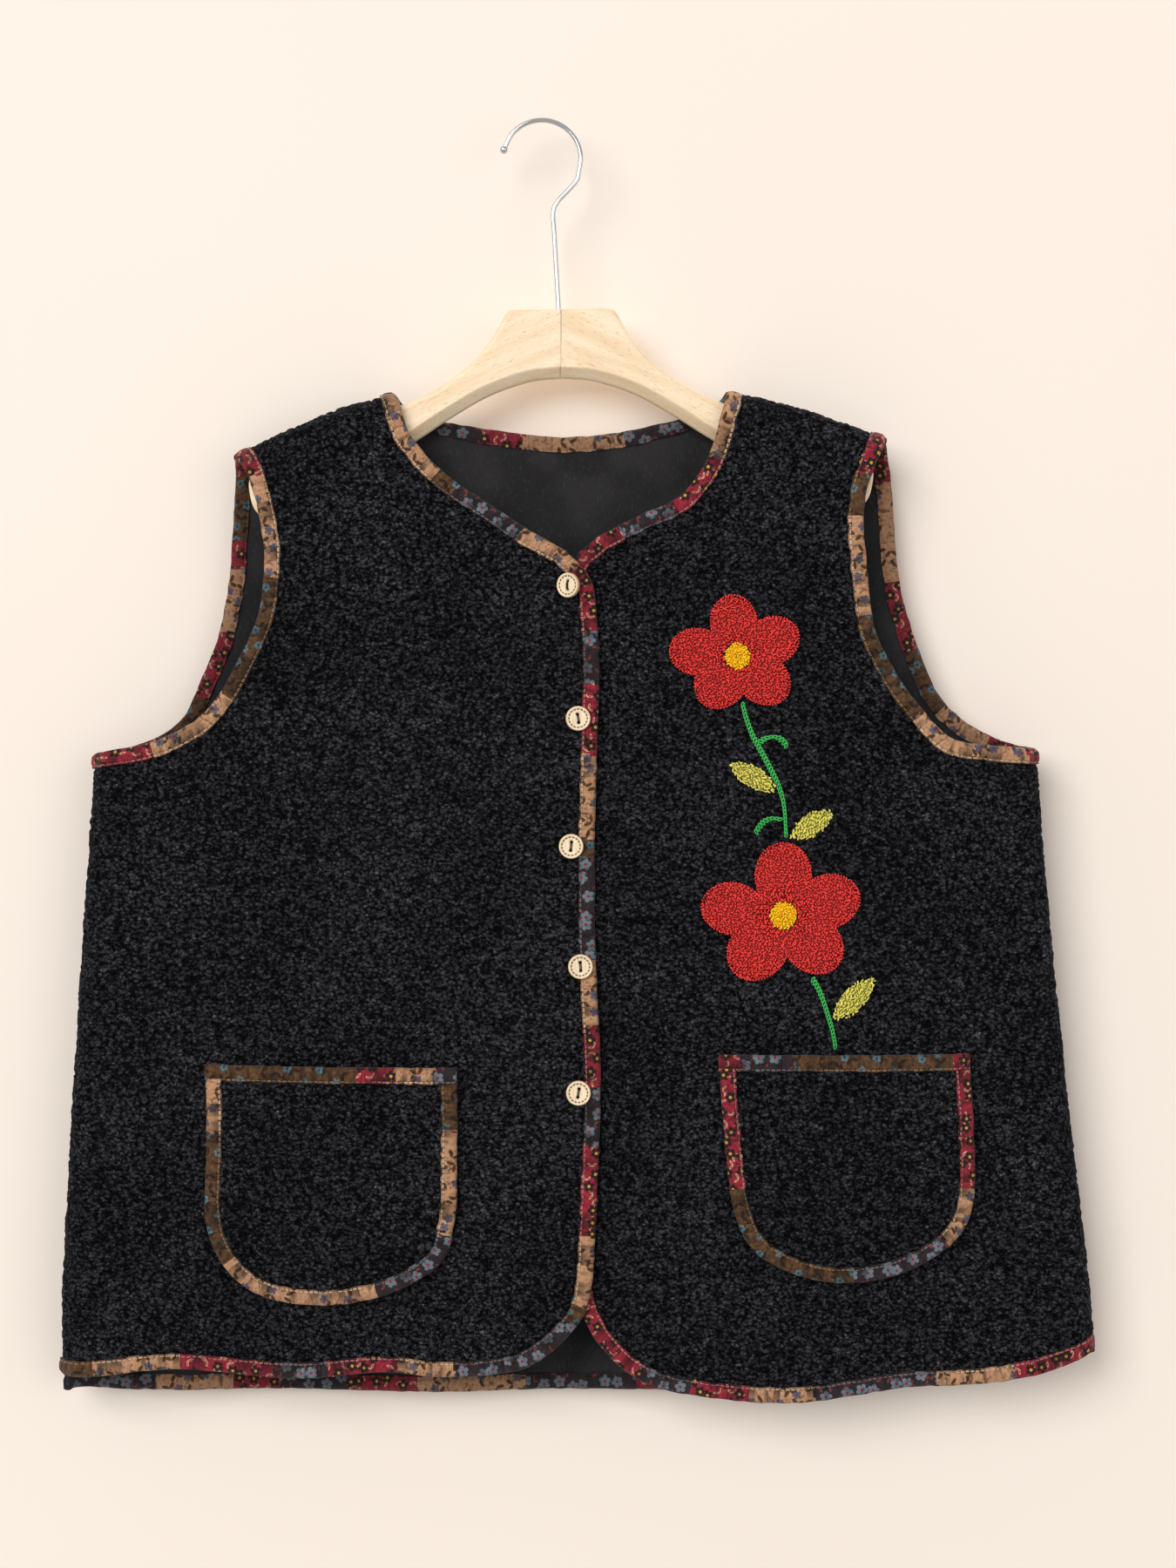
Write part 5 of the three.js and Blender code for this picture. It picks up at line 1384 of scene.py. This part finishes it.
def build_leaf(number, leaf, finish):
    """A leaf of short loops that lie across it, its half width a sine of its length."""
    x0, z0, x1, z1, width = leaf
    length = math.hypot(x1 - x0, z1 - z0)
    ux, uz = (x1 - x0) / length, (z1 - z0) / length

    def half_width(share):
        bulge = np.sin(math.pi * np.clip(share, 0, 1)) ** LEAF_FULLNESS
        return LEAF_TIP + (width / 2 - LEAF_TIP) * bulge

    outline = np.linspace(0, 2 * math.pi, 96, endpoint=False)
    share = 0.5 - 0.5 * np.cos(outline)
    aside = half_width(share) * np.sign(np.sin(outline)) * np.minimum(
        1, np.abs(np.sin(outline)) * 4)
    x_rows, z_rows = [], []
    for scale, _ in LEAF_GROUND:
        along = (0.5 + (share - 0.5) * scale) * length
        x_rows.append(x0 + along * ux - aside * scale * uz)
        z_rows.append(z0 + along * uz + aside * scale * ux)
    ground = cushion(x_rows, z_rows, [height for _, height in LEAF_GROUND])
    seed = SEEDS["leaves"] + number
    a, b = honeycomb(length, width, LOOP_PITCH["leaf"], seed)
    keep = (a > 0.2) & (a < length - 0.3) & (np.abs(b) < half_width(a / length) - 0.1)
    a, b = a[keep], b[keep]
    chance = lattice(np.arange(len(a))[:, None], seed + 10)
    lie = math.atan2(uz, ux) + math.pi / 2.6 + (chance[:, 0] - 0.5) * 1.6
    inward = 1 - np.abs(b) / half_width(a / length)
    loops = sew_loops(
        x0 + a * ux - b * uz, z0 + a * uz + b * ux,
        RAISED_FROM + 0.1 + 0.6 * smooth(inward, 0, 0.5), lie, 1.05 + 0.3 * chance[:, 1],
        seed + 20)
    make_looped(f"leaf_{number}_loops", ground, 0.1, loops, finish,
                f"leaf_{number}")


def build_stem(name, rows, finish):
    """Chain stitch: long rings of yarn in a row, each with one end on top of the next."""
    line = FoldLine(rows)
    at = np.arange(0.4, line.length - 0.4, CHAIN["pitch"])
    x, z = line.at(at)
    tx, tz = line.heading(at)
    segments, sides = 14, 5
    t = np.arange(segments)[:, None] * 2 * math.pi / segments
    p = np.arange(sides)[None] * 2 * math.pi / sides
    yarn = CHAIN["yarn"]
    along = (CHAIN["long"] + yarn * np.cos(p)) * np.cos(t)
    aside = (CHAIN["wide"] + yarn * np.cos(p)) * np.sin(t) * (1 + 0.18 * np.cos(t))
    height = yarn * np.sin(p) + 0.5 * np.cos(t) + 0.6
    form = np.stack([along, aside, height + 0 * aside], -1).reshape(-1, 3)
    faces = grid_faces(segments, sides, closed=True, ring=True)
    base, side, up, normal = on_front(x, z, np.full(len(x), RAISED_FROM + 0.25))
    ahead = side * tx[:, None] + up * tz[:, None]
    points, faces = repeat_form(form, faces, base, (ahead, np.cross(normal, ahead), normal))
    # Painted shade: each ring of yarn darker the lower it lies.
    tone = 0.3 + 0.7 * np.clip(0.5 + form[:, 2] / 2.4, 0, 1)
    make_piece(f"{name}_chain", points, [(faces, 0)], [finish],
               values={"tone": np.tile(tone, len(x))}, node=name)


# Half section of a button, columns: radius, height off its back
BUTTON_SECTION = [
    (0.6, 0), (3.5, 0), (6.6, 0.02), (7.1, 0.15), (7.45, 0.5), (7.6, 1.0), (7.6, 2.4), (7.5, 2.9),
    (7.2, 3.28), (6.85, 3.4), (6.5, 3.3), (6.2, 3.0), (5.9, 2.82), (5.0, 2.75), (2.5, 2.7),
    (0.6, 2.7),
]
# How each button is turned, nods and spins in degrees, and how far it is lifted in mm
BUTTON_TIPS = [(-30, 3, 4, 2.4), (4, -2, -8, 0), (-3, 2, 6, 0), (3, 3, -4, 0), (-4, -2, 9, 0)]
THREAD = {"apart": 0.42, "height": 2.45, "rise": 0.75, "yarn": 0.34, "rings": 9}


def lathe(section, segments):
    """A closed turned body: the section's rings round the Y axis, with a cap at each end."""
    angle = np.arange(segments) * 2 * math.pi / segments
    section = np.array(section)
    points = np.stack([
        section[:, :1] * np.cos(angle), np.repeat(section[:, 1:], segments, 1),
        section[:, :1] * np.sin(angle)], -1)
    rows = len(section)
    groups = [(grid_faces(rows, segments, closed=True), 0), (end_caps(rows, segments), 0)]
    return points.reshape(-1, 3), groups


def drilled_button():
    """The turned button with two holes cut through it, as points and faces of one mesh."""
    points, groups = lathe(BUTTON_SECTION, 72)
    parts = [(points, groups)]
    for side in (-1, 1):
        pin, pin_groups = lathe(
            [(BUTTON_HOLE["radius"], -2), (BUTTON_HOLE["radius"], 6)], 20)
        pin[:, 2] += side * BUTTON_HOLE["spacing"] / 2
        parts.append((pin, pin_groups))
    made = []
    for body, body_groups in parts:
        mesh = bpy.data.meshes.new("blank")
        faces = [list(face) for rows, _ in outwards(body, body_groups) for face in rows]
        mesh.from_pydata(body.tolist(), [], faces)
        blank = bpy.data.objects.new("blank", mesh)
        bpy.context.scene.collection.objects.link(blank)
        made.append(blank)
    for pin in made[1:]:
        cut = made[0].modifiers.new("hole", "BOOLEAN")
        cut.operation, cut.object = "DIFFERENCE", pin
    shown = made[0].evaluated_get(bpy.context.evaluated_depsgraph_get())
    result = shown.to_mesh()
    points = np.array([v.co for v in result.vertices])
    faces = [tuple(p.vertices) for p in result.polygons]
    shown.to_mesh_clear()
    for blank in made:
        bpy.data.objects.remove(blank)
    return points, faces


def build_buttons():
    """Five buttons on the lap, each tipped a little its own way, and their thread."""
    finish = button_finish()
    dark_thread = thread_finish("button_thread", rgb(30, 26, 26))
    form, faces = drilled_button()
    sizes = sorted({len(face) for face in faces})
    groups = [(np.array([face for face in faces if len(face) == size]), 0) for size in sizes]
    flip = np.diag([1.0, -1.0, 1.0])
    for k, ((x, z), (swing, nod, spin, lift)) in enumerate(zip(BUTTONS, BUTTON_TIPS)):
        turn = Euler([math.radians(a) for a in (nod, 0, swing)]).to_matrix()
        turn = np.array(turn @ Euler((0, math.radians(spin), 0)).to_matrix())
        seat = right_front_surface(x, z) - HALF - GAP - TAPE_RISE - lift
        placed = (form @ flip) @ turn.T + np.array([x, seat, z])
        make_piece(
            f"button_{k + 1}_turned", placed, groups, [finish],
            uv=form[:, [0, 2]] * MM, node=f"button_{k + 1}")
        strand, strand_faces = loop_form(
            BUTTON_HOLE["spacing"], THREAD["rise"], THREAD["yarn"], THREAD["rings"])
        strands = []
        for side in (-1, 1):
            lying = np.stack([strand[:, 1] + side * THREAD["apart"],
                              -(THREAD["height"] + strand[:, 2]), strand[:, 0]], -1)
            strands.append(lying @ turn.T + np.array([x, seat, z]))
        both = np.vstack([strand_faces, strand_faces + len(strand)])
        make_piece(f"button_{k + 1}_thread", np.vstack(strands), [(both, 0)], [dark_thread])


def hanger_outline(side):
    """Half of the hanger's outline, from the top of the glued joint round the arm to its foot."""
    def tilted(rows):
        return [(HANGER["x"] + side * d, z + HANGER["tilt"] * side * d) for d, z in rows]

    arm = []
    for d, depth in ARM_TOP:
        x = HANGER["x"] + side * d
        arm.append((x, float(ridge(x)) - depth))
    crown = tilted([(d, HANGER_TOP[0][1]) for d in (GLUE_LINE, 12, 24, 33)])
    flank = tilted(HANGER_TOP)
    low = tilted([*HANGER_LOW, (10, -159.2), (GLUE_LINE, ARCH_TOP)])
    parts = [FoldLine(crown).line, FoldLine([*flank, *arm]).line, FoldLine(low).line]
    line = np.vstack(parts)
    line = line[np.diff(travel(line), prepend=-1) > 1e-6]
    travelled = travel(line)
    at = np.linspace(0, travelled[-1], 360)
    even = np.stack([np.interp(at, travelled, line[:, k]) for k in (0, 1)], -1)
    for _ in range(6):
        even[1:-1] = (even[:-2] + 2 * even[1:-1] + even[2:]) / 4
    even[[0, -1], 0] = HANGER["x"] + side * GLUE_LINE
    return even


def build_hanger():
    """Two halves of beech glued at the middle, with rounded edges and a cut-back lower edge.

    Each is a closed body: the outline is offset inwards as the thickness grows, a quarter round
    on most edges, and a slanting cut on the front of the arch.
    """
    half = HANGER["thickness"] / 2
    radius = HANGER["round"]
    for word, side in (("right", -1), ("left", 1)):
        finish = wood_finish(
            f"hanger_beech_{word}", *(rgb(*colour) for colour in BEECH), GRAIN_PER_METRE)
        outline = hanger_outline(side)
        ahead = np.gradient(outline, axis=0)
        ahead /= np.linalg.norm(ahead, axis=1, keepdims=True)
        inward = np.stack([ahead[:, 1], -ahead[:, 0]], -1) * side
        inward[0], inward[-1] = (0, -1), (0, 1)
        distance = np.abs(outline[:, 0] - HANGER["x"])
        low = np.arange(len(outline)) > len(outline) * 0.55
        arch = (low * (1 - smooth(distance, 120, 170)))[:, None]
        rows = []
        for face in (1, -1):
            for t in np.linspace(0, 1, 7)[::-face]:
                offset = radius * (1 - math.cos(t * math.pi / 2))
                depth = half - radius + radius * math.sin(t * math.pi / 2)
                if face < 0:
                    cut = ARCH_CUT["height"] * t
                    back = -ARCH_CUT["back"] + (half + ARCH_CUT["back"]) * t
                    offset = offset + (cut - offset) * arch
                    depth = depth + (back - depth) * arch
                place = outline + inward * offset
                y = np.broadcast_to(face * depth, (len(outline), 1))
                rows.append(np.hstack([place[:, :1], y, place[:, 1:]]))
        points = np.stack(rows)
        count, around = points.shape[:2]
        numbers = np.arange(count * around).reshape(count, around)
        joint = np.concatenate([numbers[::-1, 0], numbers[:, -1]])[None]
        groups = [
            (grid_faces(count, around), 0), (numbers[-1:, ::-1], 0), (numbers[:1], 0), (joint, 0)]
        flat = points.reshape(-1, 3)
        lean = side * math.radians(-GRAIN_LEAN)
        aside = flat[:, 0] - HANGER["x"]
        along = aside * math.cos(lean) + flat[:, 2] * math.sin(lean)
        across = -aside * math.sin(lean) + flat[:, 2] * math.cos(lean)
        uv = np.stack([along + 300 * side, across], -1) * MM
        make_piece(
            f"hanger_{word}_half", flat, groups, [finish], uv=uv,
            node=f"hanger_arm_{word}", flat_groups=(1, 2, 3))


def build_hook():
    """Polished wire: a round section carried along the crown, the bend and the stem, and a ball."""
    first, sweep, count = WIRE["sweep"]
    turns = [math.radians(first - k * sweep / count) for k in range(count + 1)]
    height = WIRE["radius"] - WIRE["crown"]
    crown = [(WIRE["crown"] * math.cos(a), height + WIRE["crown"] * math.sin(a)) for a in turns]
    line = FoldLine([*crown, *WIRE_STEM])
    steps, sides, ball_rings = 220, 20, 14
    s = np.linspace(0, line.length, steps)
    x, z = line.at(s)
    tx, tz = line.heading(s)
    around = np.arange(sides) * 2 * math.pi / sides
    r = WIRE["radius"]
    points = np.stack([
        x[:, None] - tz[:, None] * r * np.cos(around), 0 * x[:, None] + r * np.sin(around),
        z[:, None] + tx[:, None] * r * np.cos(around)], -1)
    tilt = np.linspace(0.08, math.pi - 0.08, ball_rings)
    ball = np.stack([
        x[0] + WIRE["ball"] * np.sin(tilt)[:, None] * np.cos(around),
        WIRE["ball"] * np.sin(tilt)[:, None] * np.sin(around),
        z[0] + WIRE["ball"] * np.cos(tilt)[:, None] * np.ones(sides)], -1)
    bodies, groups, start = [], [], 0
    for body in (points, ball):
        rows, flat = len(body), body.reshape(-1, 3)
        tube = [(grid_faces(rows, sides, closed=True), 0), (end_caps(rows, sides), 0)]
        groups += [(faces + start, material) for faces, material in outwards(flat, tube)]
        bodies.append(flat)
        start += len(flat)
    make_piece("hook_wire", np.vstack(bodies), groups, [steel_finish()],
               node="hook")


# The sherpa as it was cut: width and length in m, area in square metres, what holds it, and
# what is sewn on. The sizes are measured along the middle of the cloth, rolled parts included.
LOOPED = ["flower_upper_loops", "flower_upper_eye_loops", "flower_lower_loops",
          "flower_lower_eye_loops", "leaf_1_loops", "leaf_2_loops", "leaf_3_loops",
          "stem_upper_chain", "stem_lower_chain", "curl_upper_chain", "curl_lower_chain"]
BUTTONED = [f"button_{k}_{part}" for k in range(1, 6) for part in ("turned", "thread")]
CLOTHS = {
    "back_cloth": (
        (0.651, 0.636), 0.333, ["hanger_right_half", "hanger_left_half"],
        ["back_neck_binding_tape", "back_hem_binding_tape", "right_armhole_back_binding_tape",
         "left_armhole_back_binding_tape"]),
    "right_front_cloth": (
        (0.335, 0.648), 0.160, ["hanger_right_half"],
        ["right_front_binding_tape", "right_armhole_front_binding_tape", *BUTTONED]),
    "left_front_cloth": (
        (0.325, 0.657), 0.155, ["hanger_left_half"],
        ["left_front_binding_tape", "left_armhole_front_binding_tape", *LOOPED]),
    "right_pocket_cloth": (
        (0.150, 0.141), 0.0193, ["right_front_cloth"],
        ["right_pocket_binding_tape", "right_pocket_mouth_binding_tape"]),
    "left_pocket_cloth": (
        (0.149, 0.135), 0.0180, ["left_front_cloth"],
        ["left_pocket_binding_tape", "left_pocket_mouth_binding_tape"]),
}


def declare_cloths():
    """Reads each cloth's row and turns what it hangs from and what is sewn to it into lists, which
    are not kept.
    """
    for name, (flat, area, rests_on, sewn_on) in CLOTHS.items():
        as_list(rests_on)
        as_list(sewn_on)


# The stage, in metres. Lamps, columns: name, place, size, power, colour
CAMERA = {"place": (0.0287, -1.518, -0.411), "lens": 56.07, "sensor": 36}
WALL = {"half": 2.4, "y": 0.032}
AIM = (0.03, 0, -0.45)
LAMPS = [
    ("key", (-3.4, -6.4, 2.4), 4.6, 385, (1.0, 0.99, 0.98)),
    ("fill", (4.0, -6.0, 0.0), 4.0, 70, (1.0, 0.99, 0.98)),
    ("back", (1.2, 3.2, 1.6), 2.4, 90, (1.0, 0.98, 0.96)),
]
AIR_STRENGTH = 0.52


def build_camera():
    """The photo's own view: level, square to the front, 1.5 m away."""
    data = bpy.data.cameras.new("camera")
    data.lens = CAMERA["lens"]
    data.sensor_width = CAMERA["sensor"]
    data.clip_end = 50
    camera = bpy.data.objects.new("camera", data)
    camera.location = CAMERA["place"]
    camera.rotation_euler = Euler((math.pi / 2, 0, 0))
    bpy.context.scene.collection.objects.link(camera)
    bpy.context.scene.camera = camera


def build_wall():
    """A pale wall close behind, seen from the front alone, which lets the back lamp through."""
    f = Finish("wall", 0.9)
    output = f.tree.nodes["Material Output"]
    place = f.object_place()
    plaster = f.noise(place, 3, 2.0)
    f.done(f.mix(plaster, rgb(246, 235, 224), rgb(248, 238, 228)))
    through = f.node("ShaderNodeBsdfTransparent")
    behind = f.node("ShaderNodeNewGeometry").outputs["Backfacing"]
    blend = f.node("ShaderNodeMixShader", {"Fac": behind})
    f.feed(blend.inputs[1], f.shader.outputs[0])
    f.feed(blend.inputs[2], through.outputs[0])
    f.feed(output.inputs["Surface"], blend.outputs[0])
    mesh = bpy.data.meshes.new("wall")
    size, y = WALL["half"], WALL["y"]
    corners = [(-size, y, -size), (size, y, -size), (size, y, size), (-size, y, size)]
    mesh.from_pydata(corners, [], [(0, 1, 2, 3)])
    mesh.materials.append(f.material)
    wall = bpy.data.objects.new("wall", mesh)
    wall.visible_shadow = False
    bpy.context.scene.collection.objects.link(wall)


def build_light(name, place, size, power, colour):
    """A square lamp that faces the middle of the vest."""
    data = bpy.data.lights.new(name, "AREA")
    data.size = size
    data.energy = power
    data.color = colour
    lamp = bpy.data.objects.new(name, data)
    lamp.location = place
    direction = Vector(AIM) - Vector(place)
    lamp.rotation_euler = direction.to_track_quat("-Z", "Y").to_euler()
    bpy.context.scene.collection.objects.link(lamp)


def build_studio():
    """A large soft lamp on the upper left, weaker ones on the right and behind, and pale air."""
    for lamp in LAMPS:
        build_light(*lamp)
    world = bpy.data.worlds.new("studio")
    world.use_nodes = True
    air = world.node_tree.nodes["Background"]
    air.inputs["Color"].default_value = rgb(249, 245, 241)
    air.inputs["Strength"].default_value = AIR_STRENGTH
    bpy.context.scene.world = world
    bpy.context.scene.view_settings.view_transform = "Standard"


build_camera()
build_wall()
build_studio()
build_back()
build_front("right", -1, RIGHT_FRONT_EDGE)
build_front("left", 1, LEFT_FRONT_EDGE)
build_pocket("right")
build_pocket("left")
PETALS = yarn_finish("petal_yarn", rgb(116, 4, 14), rgb(255, 70, 64))
EYES = yarn_finish("eye_yarn", rgb(250, 148, 0), rgb(255, 222, 26))
LEAF_YARN = yarn_finish("leaf_yarn", rgb(112, 102, 28), rgb(244, 236, 112))
STEM_YARN = yarn_finish("stem_yarn", rgb(8, 72, 28), rgb(66, 188, 92))
for index, (flower_name, flower_row) in enumerate(FLOWERS.items()):
    build_flower(flower_name, flower_row, PETALS, EYES, SEEDS["flowers"] + 10 * index)
for index, leaf_row in enumerate(LEAVES):
    build_leaf(index + 1, leaf_row, LEAF_YARN)
for stem_name, stem_rows in STEMS.items():
    build_stem(stem_name, stem_rows, STEM_YARN)
build_buttons()
build_hanger()
build_hook()
declare_cloths()
